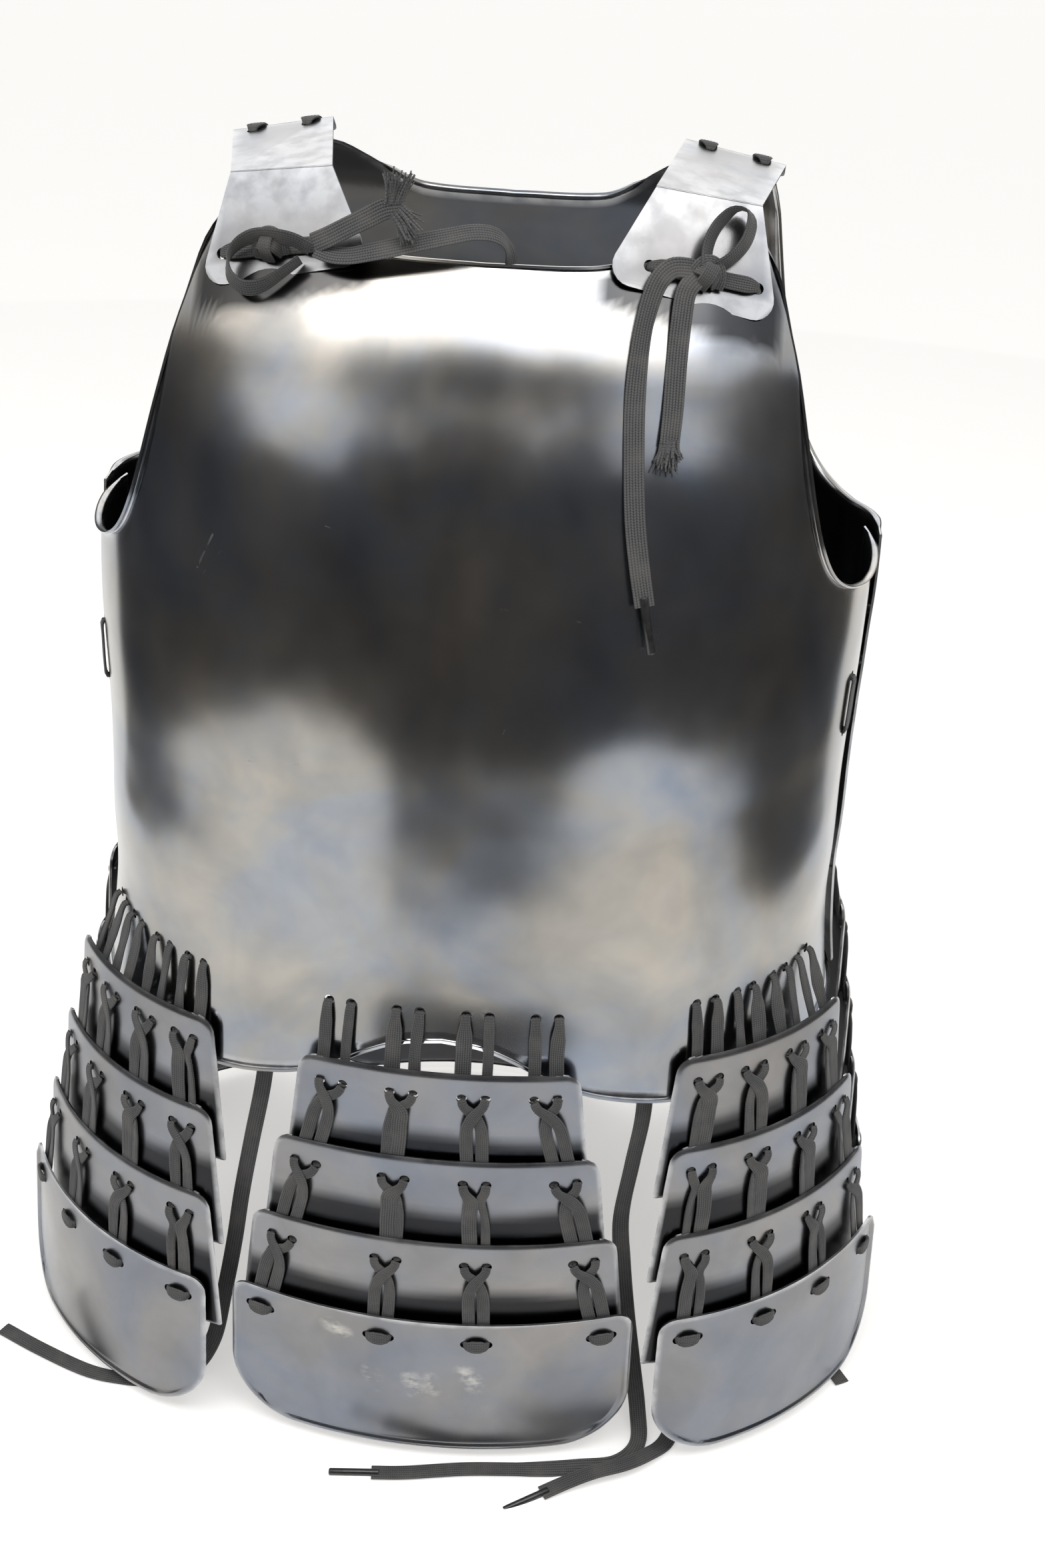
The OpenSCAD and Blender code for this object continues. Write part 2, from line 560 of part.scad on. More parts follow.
// A flat cord: its points, the way its face looks at the start and at the end, the point at
// which it turns from one to the other and, for a loop, the axis that it bends round
CORD_RING = [[1, 0.3], [0.72, 1], [-0.72, 1], [-1, 0.3], [-1, -0.3], [-0.72, -1], [0.72, -1], [1, -0.3]];
LEFT_TIE_CORDS = [
    [[[92, -80, 337], [86, -82, 338.5], [79, -83.5, 338], [73.5, -87.5, 332], [70, -95, 320], [68.5, -102, 308],
      [68, -113, 288.5], [69.5, -126.5, 266.5], [72, -138, 243.5], [75.5, -145.5, 225], [79, -150, 209.5]],
     [0.2, -0.8, 0.5], [0.2, -0.9, 0.3], 3],
    [[[93, -81, 336], [89, -84.5, 333.5], [86, -87, 328.5], [85, -93.5, 317], [84.5, -102, 302],
      [84.5, -112, 284.5], [84, -120, 272]],
     [0.2, -0.8, 0.5], [0.3, -0.9, 0.3], 2],
    [[[94, -80, 339], [94, -76.5, 347], [97, -72.5, 354.5], [103, -69, 360.5], [109, -67.5, 361.5],
      [112, -69, 357], [110, -73, 349], [104, -77.5, 342.5], [97, -79.5, 338.5]],
     [0.2, -0.8, 0.5], [0.2, -0.8, 0.5], 2, [0.55, 0.75, -0.35]]];
RIGHT_TIE_CORDS = [
    [[[-76, -86, 337], [-83, -86, 340], [-91, -85, 341], [-99, -83, 340.5], [-107, -82, 337], [-112, -83.5, 331],
      [-111, -88, 324], [-104, -92, 320], [-96, -92.5, 321.5], [-88, -91, 326.5], [-80, -88, 332.5]],
     [-0.2, -0.8, 0.5], [-0.2, -0.8, 0.5], 2, [0.3, -0.6, 0.75]],
    [[[-75, -86, 339], [-68, -87.5, 342.5], [-60, -89, 347], [-51, -91, 352], [-43, -92.5, 356.5], [-36, -93.5, 358]],
     [-0.2, -0.9, 0.3], [-0.1, -1, 0.1], 2],
    [[[-73, -87, 337], [-66, -89, 335.5], [-58, -91, 336], [-48, -92, 338.5], [-33, -92.5, 342.5],
      [-17, -92, 346.5], [-4, -90, 349], [5, -86, 347], [9, -81, 341], [10.5, -76.5, 332]],
     [-0.1, -0.6, 0.8], [0.3, -0.6, 0.8], 3]];
LEFT_TAIL_CORDS = [
    [[[97, -146.2, 2], [99, -146.5, -20], [101, -147, -60], [98, -147, -95], [95, -148, -130], [98, -149, -160],
      [103, -150, -195], [109, -152, -230], [114, -157, -258], [115, -169, -270], [104, -182, -272],
      [84, -187, -272], [60, -191, -272], [24, -195, -272], [-8, -201, -272], [-26, -203, -272]],
     [0.4, -0.9, 0], [0, 0, 1], 8],
    [[[116, -137.7, 2], [117, -138.5, -20], [119, -140, -60], [121, -141, -110], [125, -143, -160],
      [129, -145, -210], [133, -149, -250], [134, -156, -266], [130, -166, -271], [120, -177, -269],
      [108, -186, -267.5], [92, -193, -267.5], [78, -199, -270], [65, -206, -272]],
     [0.5, -0.9, 0], [0, 0, 1], 6],
    [[[186, -52, 2], [186.5, -52, -20], [187, -52, -60], [187, -52, -110], [186.5, -52, -160],
      [187, -52, -210], [189, -53, -248], [193, -56, -265], [200, -62, -272], [208, -73, -272],
      [216, -84, -272], [225, -97, -272], [232, -110, -272]],
     [1, -0.2, 0], [0, 0, 1], 6]];
RIGHT_TAIL_CORDS = [
    [[[-84, -150.5, 2], [-87, -149.7, -20], [-91, -147, -60], [-98, -148, -100], [-104, -148, -135],
      [-109, -148, -170], [-115, -149, -205], [-122, -150, -240], [-134, -152, -262], [-152, -154, -270.5],
      [-172, -155, -272], [-194, -152, -272], [-224, -140, -272], [-251, -127, -272]],
     [-0.3, -0.95, 0], [0, 0, 1], 7]];

module flat_cord(cord) {
    p = cord[0];
    n = len(p);
    function way(i) = unit(p[min(i + 1, n - 1)] - p[max(i - 1, 0)]);
    function face(i) = unit(mix(cord[1], cord[2], ease((i - cord[3]) / 2)));
    function wide(i) =
        let (w = len(cord) > 4 ? cord[4] : cross(way(i), face(i)))
        unit(w - way(i) * (w * way(i)));
    points = [for (i = [0 : n - 1], q = CORD_RING)
        p[i] + wide(i) * q.x * lace_w / 2 + cross(wide(i), way(i)) * q.y * lace_t / 2];
    sides = [for (i = [0 : n - 2], k = [0 : 7])
        let (a = i * 8 + k, b = i * 8 + (k + 1) % 8)
        each [[a, b, b + 8], [a, b + 8, a + 8]]];
    first = [[for (k = [7 : -1 : 0]) k]];
    last = [[for (k = [0 : 7]) (n - 1) * 8 + k]];
    polyhedron(points, concat(sides, first, last), convexity = 6);
}

// Knot, strap between the tie holes and stubs through the plate, in the plane of its front part
module tie_knot() {
    a = TIE_HOLES[0];
    b = TIE_HOLES[1];
    lift = steel_t / 2 + lace_clear;
    in_frame(FRONT_FRAME) {
        translate([(a.x + b.x) / 2, (a.y + b.y) / 2, lift + knot_r])
            sphere(r = knot_r, $fn = 24);
        translate([a.x, a.y, lift])
            rotate(atan2(b.y - a.y, b.x - a.x))
                translate([-2, -3.5, 0])
                    cube([norm(b - a) + 4, 7, lace_t]);
        for (h = TIE_HOLES)
            translate([h.x, h.y, -steel_t / 2 - 1])
                cylinder(d = bunch_d, h = steel_t + 2);
    }
}

module shoulder_tie_left() {
    color(LACE) {
        tie_knot();
        for (c = LEFT_TIE_CORDS) flat_cord(c);
    }
}
module shoulder_tie_right() {
    color(LACE) {
        mirror([1, 0, 0]) tie_knot();
        for (c = RIGHT_TIE_CORDS) flat_cord(c);
    }
}
module tails_left() {
    color(LACE)
        for (c = LEFT_TAIL_CORDS) flat_cord(c);
}
module tails_right() {
    color(LACE)
        for (c = RIGHT_TAIL_CORDS) flat_cord(c);
}

breastplate();
backplate();
shoulder_plate_left();
shoulder_plate_right();
for (h = HANGINGS, n = [1 : 4]) {
    skirt_plate(h, n);
    lace_group(h, n);
}
side_tie_left();
side_tie_right();
crest_laces_left();
crest_laces_right();
shoulder_tie_left();
shoulder_tie_right();
tails_left();
tails_right();
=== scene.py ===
"""Laced steel cuirass with shoulder plates and a hanging skirt of curved plates.

Run as a script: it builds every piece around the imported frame, in metres.
"""

import math
import random
from collections import namedtuple

import bmesh
import bpy
import numpy as np
from mathutils import Matrix, Vector, noise
from mathutils.kdtree import KDTree


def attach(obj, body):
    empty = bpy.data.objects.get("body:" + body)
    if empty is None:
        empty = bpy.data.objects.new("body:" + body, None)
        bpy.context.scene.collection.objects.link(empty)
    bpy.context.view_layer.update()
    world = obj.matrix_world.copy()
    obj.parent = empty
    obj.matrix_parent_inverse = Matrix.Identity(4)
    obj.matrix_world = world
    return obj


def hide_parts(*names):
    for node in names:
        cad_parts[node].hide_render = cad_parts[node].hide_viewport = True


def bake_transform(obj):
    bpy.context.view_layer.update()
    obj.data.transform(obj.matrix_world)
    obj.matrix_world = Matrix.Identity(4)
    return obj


bl_info = {
    "name": "Laced steel cuirass",
    "version": (1, 0, 0),
    "blender": (4, 5, 0),
    "location": "View3D > Sidebar > Armour",
    "description": "Builds the plates, laces and ties of a laced steel cuirass",
    "category": "Object",
}

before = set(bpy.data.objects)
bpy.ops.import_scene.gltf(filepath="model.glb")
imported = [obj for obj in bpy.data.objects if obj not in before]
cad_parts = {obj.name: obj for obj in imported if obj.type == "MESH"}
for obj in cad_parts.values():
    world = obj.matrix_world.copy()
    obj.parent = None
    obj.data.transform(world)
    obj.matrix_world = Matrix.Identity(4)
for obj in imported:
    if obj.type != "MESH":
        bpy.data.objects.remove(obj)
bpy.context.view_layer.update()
MM = 0.001

# All sizes below are in millimetres, and all heights are above the lacing row.
# Half widths of the cuirass at the chest, the waist and the shoulders
CHEST, WAIST, SHOULDER = 192.5, 193.5, 161.0
# From the middle to the edge of the neck, and to the outer edge of a shoulder tab
NECK, TAB = 50.0, 122.0
# Depths of the breastplate and the backplate
FRONT_D, BACK_D = 162.0, 112.0
# Heights of the neck and of the armholes
NECK_H, ARM_H = 333.0, 195.0
# Drop of the skirt edge, and rise of its arch in the middle of the front
DROP, ARCH = 50.0, 37.0
# Thickness of the sheets
STEEL = 1.2
# Side seam: its gap, how far the backplate laps forward and the breastplate tucks under it
SEAM, LAP, TUCK = 4.0, 8.0, 12.0
# Gentle swells of the front sheet: height of the middle, reach up and down, and how far they stand out
SWELLS = ((304, 21, 2.9), (52, 25, 2.7))
# Shallow groove down the middle of the front sheet: its depth and half its width
GROOVE_DEPTH, GROOVE_HALF = 0.9, 9
# Roundness of the section, where 2 is an ellipse and more is squarer
FRONT_POWER, BACK_POWER = 2.35, 2.3
# Lace holes: from one of a pair to the other, their diameter, and the length of a short and a long drill
PAIR, HOLE, DRILL, LONG_DRILL = 11.5, 5.2, 14, 16
# Laces: width, thickness and woven ribs
LACE_W, LACE_T, LACE_RIBS = 9.0, 1.35, 7


def height(f):
    """Height at a share of the way from the armholes to the neck."""
    return ARM_H + f * (NECK_H - ARM_H)


# Half width, and depth in front and behind, each against the height
HALF = [
    (-60, WAIST + 8), (-25, WAIST + 3), (10, WAIST), (40, WAIST),
    (90, CHEST - 0.5), (ARM_H - 28, CHEST), (ARM_H + 12, CHEST - 1.5),
    (height(0.37), CHEST - 5), (height(0.56), CHEST - 9),
    (height(0.72), SHOULDER + 17), (height(0.88), SHOULDER + 9),
    (height(1.08), SHOULDER), (height(1.25), SHOULDER - 9)]
FRONT = [
    (-60, FRONT_D + 9), (-25, FRONT_D + 5), (10, FRONT_D), (50, FRONT_D - 3),
    (100, FRONT_D - 1), (ARM_H - 50, FRONT_D), (ARM_H - 10, FRONT_D - 4),
    (height(0.18), FRONT_D - 13), (height(0.438), FRONT_D - 28),
    (height(0.686), FRONT_D - 50), (height(0.865), FRONT_D - 66),
    (height(1.011), FRONT_D - 78), (height(1.157), FRONT_D - 90)]
BACK = [
    (-60, BACK_D + 8), (-25, BACK_D + 4), (10, BACK_D), (50, BACK_D - 4),
    (110, BACK_D + 3), (ARM_H - 17, BACK_D + 9), (height(0.326), BACK_D + 6),
    (height(0.663), BACK_D - 8), (height(0.865), BACK_D - 22),
    (height(1.012), BACK_D - 36), (height(1.124), BACK_D - 54),
    (height(1.214), BACK_D - 82), (height(1.275), BACK_D - 102),
    (height(1.326), BACK_D - 111)]
# Top and bottom edges: the height against the distance from the middle
TOP_FRONT = [
    (0, NECK_H), (NECK - 5, NECK_H + 1), (NECK + 10, NECK_H + 4),
    (NECK + 22, NECK_H + 11), (NECK + 34, NECK_H + 17.5),
    (TAB - 24, height(1.135)), (TAB - 12, height(1.13)), (TAB - 5, height(1.1)),
    (TAB, height(1.035)), (TAB + 5, height(0.95)), (TAB + 9, height(0.85)),
    (TAB + 15, height(0.71)), (TAB + 20.5, height(0.54)), (TAB + 26, height(0.37)),
    (TAB + 32, height(0.22)), (TAB + 39, height(0.11)), (TAB + 48, height(0.04)),
    (CHEST - 12, ARM_H + 0.7), (CHEST - 5, ARM_H), (CHEST, ARM_H + 1)]
LOW_FRONT = [(0, ARCH - DROP), (20, ARCH * 0.93 - DROP), (38, ARCH * 0.73 - DROP),
             (48, ARCH * 0.57 - DROP), (60, ARCH * 0.40 - DROP), (80, ARCH * 0.21 - DROP),
             (110, ARCH * 0.05 - DROP), (150, -DROP), (220, -DROP)]
TOP_BACK = [
    (0, NECK_H + 5), (NECK - 5, NECK_H + 7), (NECK + 10, NECK_H + 14),
    (NECK + 22, NECK_H + 26), (NECK + 32, NECK_H + 33.5),
    (TAB - 24, NECK_H + 34.5), (TAB - 6, NECK_H + 31.5), (TAB + 2, NECK_H + 26.5),
    (TAB + 8, height(1.067)), (TAB + 12, height(0.92)), (TAB + 17, height(0.74)),
    (TAB + 23, height(0.54)), (TAB + 29, height(0.38)), (TAB + 36, height(0.24)),
    (TAB + 45, height(0.13)), (CHEST - 14, height(0.06)), (CHEST - 4, height(0.04)),
    (CHEST, height(0.03))]
LOW_BACK = [(0, -DROP), (220, -DROP)]


def curve(x, keys):
    """Smooth curve through the key points, for one number or an array."""
    k = np.array(keys, float)
    kx, ky = k[:, 0], k[:, 1]
    n = len(kx)
    lo, hi = np.maximum(np.arange(n) - 1, 0), np.minimum(np.arange(n) + 1, n - 1)
    m = (ky[hi] - ky[lo]) / (kx[hi] - kx[lo])
    i = np.clip(np.searchsorted(kx, x, side="right") - 1, 0, n - 2)
    h = kx[i + 1] - kx[i]
    s = (np.asarray(x, float) - kx[i]) / h
    return ((2 * s ** 3 - 3 * s * s + 1) * ky[i] + (s ** 3 - 2 * s * s + s) * m[i] * h
            + (3 * s * s - 2 * s ** 3) * ky[i + 1] + (s ** 3 - s * s) * m[i + 1] * h)


def ease(f):
    """Smooth step from nothing to one."""
    g = np.clip(f, 0, 1)
    return g * g * (3 - 2 * g)


def rim(x, half, depth, p):
    """Depth of a rounded section at a distance across."""
    return depth * np.maximum(0, 1 - np.minimum(1, np.abs(x) / half) ** p) ** (1 / p)


def front_y(x, z):
    """Place of the breastplate's surface, from its place across and its height."""
    return -rim(x, curve(z, HALF), curve(z, FRONT), FRONT_POWER)


def seam_step(part):
    """Outward step of the backplate at the seam, against the share of the half width."""
    return (SEAM + STEEL) * ease((part - 0.965) / 0.03)


def column_x(t, z, p):
    """Place across of a column of faces, closer together towards the top."""
    x = CHEST * np.sin(np.radians(t)) ** (2 / p)
    return x * (1 + ease((t - 45) / 45) * (curve(z, HALF) / CHEST - 1))


def front_point(t, z):
    """Points of the breastplate at angles round it and heights."""
    a, s, half = np.abs(t), np.sign(t), curve(z, HALF)
    x = column_x(np.minimum(a, 90), z, FRONT_POWER)
    behind = np.maximum(0, -np.cos(np.radians(a)))
    round_x = half * np.abs(np.sin(np.radians(a))) ** (2 / BACK_POWER)
    return np.stack([s * np.where(a <= 90, x, round_x),
                     np.where(a <= 90, front_y(x, z), curve(z, BACK) * behind ** (2 / BACK_POWER)),
                     z + 0 * t], -1)


def back_point(t, z):
    """Points of the backplate at angles round it and heights."""
    a, s, half = np.abs(t), -np.sign(t), curve(z, HALF)
    x = column_x(np.minimum(a, 90), z, BACK_POWER)
    before = np.maximum(0, -np.cos(np.radians(a)))
    x = np.where(a <= 90, x, half * np.abs(np.sin(np.radians(a))) ** (2 / FRONT_POWER))
    y = np.where(a <= 90, rim(x, half, curve(z, BACK), BACK_POWER),
                 -curve(z, FRONT) * before ** (2 / FRONT_POWER))
    return np.stack([s * (x + seam_step(x / half)), y, z + 0 * t], -1)


FRONT_TURN = 90 + math.degrees(math.asin((TUCK / BACK_D) ** (BACK_POWER / 2)))
BACK_TURN = 90 + math.degrees(math.asin((LAP / FRONT_D) ** (FRONT_POWER / 2)))

# A hanging of the skirt: azimuth, distance from the skirt edge, side shift, shift per row, lean, and for
# the first and the last row the radius and the places of the inner and outer lace pairs
Hanging = namedtuple("Hanging", "azimuth gap shift row_shift lean first_radius last_radius "
                     "first_inner last_inner first_outer last_outer")
HANGINGS = {
    "front": Hanging(0, 8.6, 0, 0, -2, 330, 290, 17.5, 25.5, 52.4, 91),
    "front_left": Hanging(40, 9.4, 47, 4, 4, 145, 178, 14.5, 21, 41, 66),
    "front_right": Hanging(-40, 9.4, -47, -4, 4, 145, 178, 14.5, 21, 41, 66),
    "back": Hanging(180, 10, 0, 0, 2, 260, 230, 17.5, 25.5, 52.4, 91),
    "back_left": Hanging(128, 12, -62, 0, 4, 106, 142, 18.5, 27, 57, 84),
    "back_right": Hanging(-128, 12, 62, 0, 4, 106, 142, 18.5, 27, 57, 84),
}
# Rows of plates in a hanging, and lace pairs across a row
LAST_ROW, PAIR_COUNT = 4, 4
# Row 1 below the lacing row, from row to row, steel above the holes, height of a plate and of the last
FIRST, PITCH, TOP_MARGIN, PLATE_H, LAST_H = 38.0, 50.0, 13.5, 82.0, 92.0
# Steel beside the outer holes, outward step from row to row, lean of the sides, and corner radii of the
# top and of the foot of the last plate
SIDE_MARGIN, PLATE_GAP, LEAN, CORNER, LAST_CORNER = 16.0, 5.25, 7.0, 9.0, 36.0
# Upper end of the band of painted shade on rows 1 to 3, above the top of the row below, and its soft reach
SHADE_RISE, SHADE_SOFT = (17, 23, 22), 11


def unit(v):
    """Directions with a length of one."""
    v = np.asarray(v, float)
    return v / np.maximum(1e-9, np.linalg.norm(v, axis=-1, keepdims=True))


def sin_d(a):
    """Sine of an angle in degrees."""
    return math.sin(math.radians(a))


def cos_d(a):
    """Cosine of an angle in degrees."""
    return math.cos(math.radians(a))


def outward(a):
    """Level direction away from the body at an azimuth."""
    return np.array([sin_d(a), -cos_d(a), 0.0])


def along(a):
    """Level direction across a hanging at an azimuth."""
    return np.array([cos_d(a), sin_d(a), 0.0])


def edge_reach(a):
    """How far the skirt edge of the cuirass reaches out at an azimuth."""
    ahead = abs(a) < 90
    p = FRONT_POWER if ahead else BACK_POWER
    q = p / (p - 1)
    d = float(curve(-DROP, FRONT if ahead else BACK))
    return ((float(curve(-DROP, HALF)) * abs(sin_d(a))) ** q + (d * abs(cos_d(a))) ** q) ** (1 / q)


def share(n):
    """Share of the way from the first row to the last."""
    return (max(1, n) - 1) / (LAST_ROW - 1)


def radius(h, n):
    """Radius to which a plate of row n is curved."""
    return h.first_radius + (h.last_radius - h.first_radius) * share(n)


def pairs(h, n):
    """Places of the lace pairs across row n, along its curve."""
    inner = h.first_inner + (h.last_inner - h.first_inner) * share(n)
    outer = h.first_outer + (h.last_outer - h.first_outer) * share(n)
    return [-outer, -inner, inner, outer]


def plate_origin(h, n):
    """Middle of the line of holes of row n."""
    step = PLATE_GAP + PITCH * math.tan(math.radians(h.lean))
    return (outward(h.azimuth) * (edge_reach(h.azimuth) + h.gap + (n - 1) * step)
            + along(h.azimuth) * (h.shift + (n - 1) * h.row_shift)
            + np.array([0, 0, -FIRST - (n - 1) * PITCH]))


def on_plate(h, n, arc):
    """Point on the line of holes of row n, at a distance along its curve."""
    r = radius(h, n)
    a = arc / r
    d = r * (1 - math.cos(a))
    return (plate_origin(h, n) + along(h.azimuth) * r * math.sin(a) - outward(h.azimuth) * d * cos_d(h.lean)
            - np.array([0, 0, d * sin_d(h.lean)]))


def plate_out(h, n, arc):
    """Direction that the plate faces at a distance along its curve."""
    n = max(1, n)
    return outward(h.azimuth + math.degrees(arc / radius(h, n)))


def inside(p):
    """Whether a point at the lacing row lies within the cuirass."""
    half = float(curve(0, HALF))
    if p[1] < -LAP - 4:
        return abs(p[0]) < half and p[1] > front_y(p[0], 0)
    depth = float(curve(0, BACK))
    s = max(0, 1 - min(1, max(0, p[1]) / depth) ** BACK_POWER) ** (1 / BACK_POWER)
    return abs(p[0]) < half * s + seam_step(s) and p[1] < depth


def hole_at(h, n, arc):
    """Place of a lace hole: on a plate, or on the cuirass where n is 0."""
    if n > 0:
        return on_plate(h, n, arc)
    p, out = on_plate(h, 1, arc), plate_out(h, 1, arc)
    p[2] = 0
    low, high = 0.0, 45.0
    for _ in range(18):
        mid = (low + high) / 2
        if inside(p - out * mid):
            high = mid
        else:
            low = mid
    return p - out * low


class Axes:
    """A place with its own x, y and z directions."""

    def __init__(self, o, x, z):
        self.o = np.asarray(o, float)
        self.z = unit(z)
        self.x = unit(np.asarray(x, float) - self.z * np.dot(x, self.z))
        self.y = np.cross(self.z, self.x)

    def at(self, x, y, z):
        """The point at these distances along the three directions."""
        return self.o + self.x * x + self.y * y + self.z * z


# Left shoulder plate: gap of its flap over the breastplate at the foot and at the crease, and the flat
# parts in front, on top and behind
FLAP_GAP, CREASE_GAP = 6.6, 4.5
FRONT_IN = np.array([NECK - 1, float(front_y(NECK - 1, NECK_H)) - FLAP_GAP, NECK_H])
FRONT_OUT = np.array([TAB + 5, float(front_y(TAB + 5, NECK_H - 18)) - FLAP_GAP, NECK_H - 18])
CREASE_IN = FRONT_IN + [21, 0, 35]
CREASE_IN[1] = float(front_y(CREASE_IN[0], CREASE_IN[2])) - CREASE_GAP
PLATE_FRONT = Axes(FRONT_IN, FRONT_OUT - FRONT_IN, np.cross(FRONT_OUT - FRONT_IN, CREASE_IN - FRONT_IN))
CREASE_OUT = FRONT_IN + 0.57 * (FRONT_OUT - FRONT_IN) + 1.1 * (CREASE_IN - FRONT_IN)
CREST_IN = CREASE_IN + [12.5, 76, 10]
PLATE_TOP = Axes(CREASE_IN, CREASE_OUT - CREASE_IN, np.cross(CREASE_OUT - CREASE_IN, CREST_IN - CREASE_IN))
CREST_OUT = CREASE_IN + 1.055 * (CREASE_OUT - CREASE_IN) + 0.857 * (CREST_IN - CREASE_IN)
REAR_IN = CREST_IN + [1, 16, -7]
REAR_OUT = REAR_IN + CREST_OUT - CREST_IN
PLATE_REAR = Axes(CREST_IN, CREST_OUT - CREST_IN, np.cross(CREST_OUT - CREST_IN, REAR_IN - CREST_IN))
# Holes of the front tie on the flap, across and up
TIE_HOLES = [(20, 11), (69, 14)]
# Crest laces: their shares of the way along the crest, and how far behind it they enter the backplate
CREST_SHARES, CREST_REACH = (0.22, 0.76), 22
# Heights of the holes of the side lacing, and their depths in the breastplate and the backplate
SIDE_TIE_Z, SIDE_TIE_Y = (117, 147), (-62, 30)


def side_half(y, z, ahead):
    """Half width of the cuirass at a depth and a height."""
    p = FRONT_POWER if ahead else BACK_POWER
    s = (1 - (abs(y) / float(curve(z, FRONT if ahead else BACK))) ** p) ** (1 / p)
    return float(curve(z, HALF)) * s + (0 if ahead else float(seam_step(s)))


def side_axes(z, ahead):
    """Place and directions of a hole of the side lacing."""
    y = SIDE_TIE_Y[0] if ahead else SIDE_TIE_Y[1]
    a, b = side_half(y - 2, z, ahead), side_half(y + 2, z, ahead)
    return Axes([side_half(y, z, ahead), y, z], [0, 0, 1], [4, a - b, 0])


class ArmourFinish(bpy.types.PropertyGroup):
    """Colours that a user may change"""
    cuirass: bpy.props.FloatVectorProperty(
        name="Cuirass steel", description="Polished steel of the breastplate and backplate",
        subtype="COLOR", size=3, min=0, max=1, default=(0.335, 0.34, 0.35))
    plates: bpy.props.FloatVectorProperty(
        name="Skirt steel", description="Satin steel of the skirt and shoulder plates",
        subtype="COLOR", size=3, min=0, max=1, default=(0.24, 0.245, 0.262))
    lace: bpy.props.FloatVectorProperty(
        name="Lace", description="Woven lace", subtype="COLOR", size=3, min=0, max=1,
        default=(0.105, 0.105, 0.106))
    floor: bpy.props.FloatVectorProperty(
        name="Floor", description="Pale floor and backdrop", subtype="COLOR", size=3, min=0, max=1,
        default=(0.92, 0.92, 0.91))


class ArmourSizes(bpy.types.PropertyGroup):
    """Sizes that a user may change"""
    columns: bpy.props.IntProperty(
        name="Cuirass columns", description="Faces across one half of the cuirass",
        min=40, max=400, default=180)
    rows: bpy.props.IntProperty(
        name="Cuirass rows", description="Faces up one half of the cuirass",
        min=30, max=300, default=110)
    dents: bpy.props.FloatProperty(
        name="Hammer marks", description="Depth of the shallow hammer marks", unit="LENGTH",
        min=0, max=0.001, default=0.00045)


def finish_of():
    """Colours of the scene."""
    return bpy.context.scene.armour_finish


def sizes():
    """Sizes of the scene."""
    return bpy.context.scene.armour_sizes


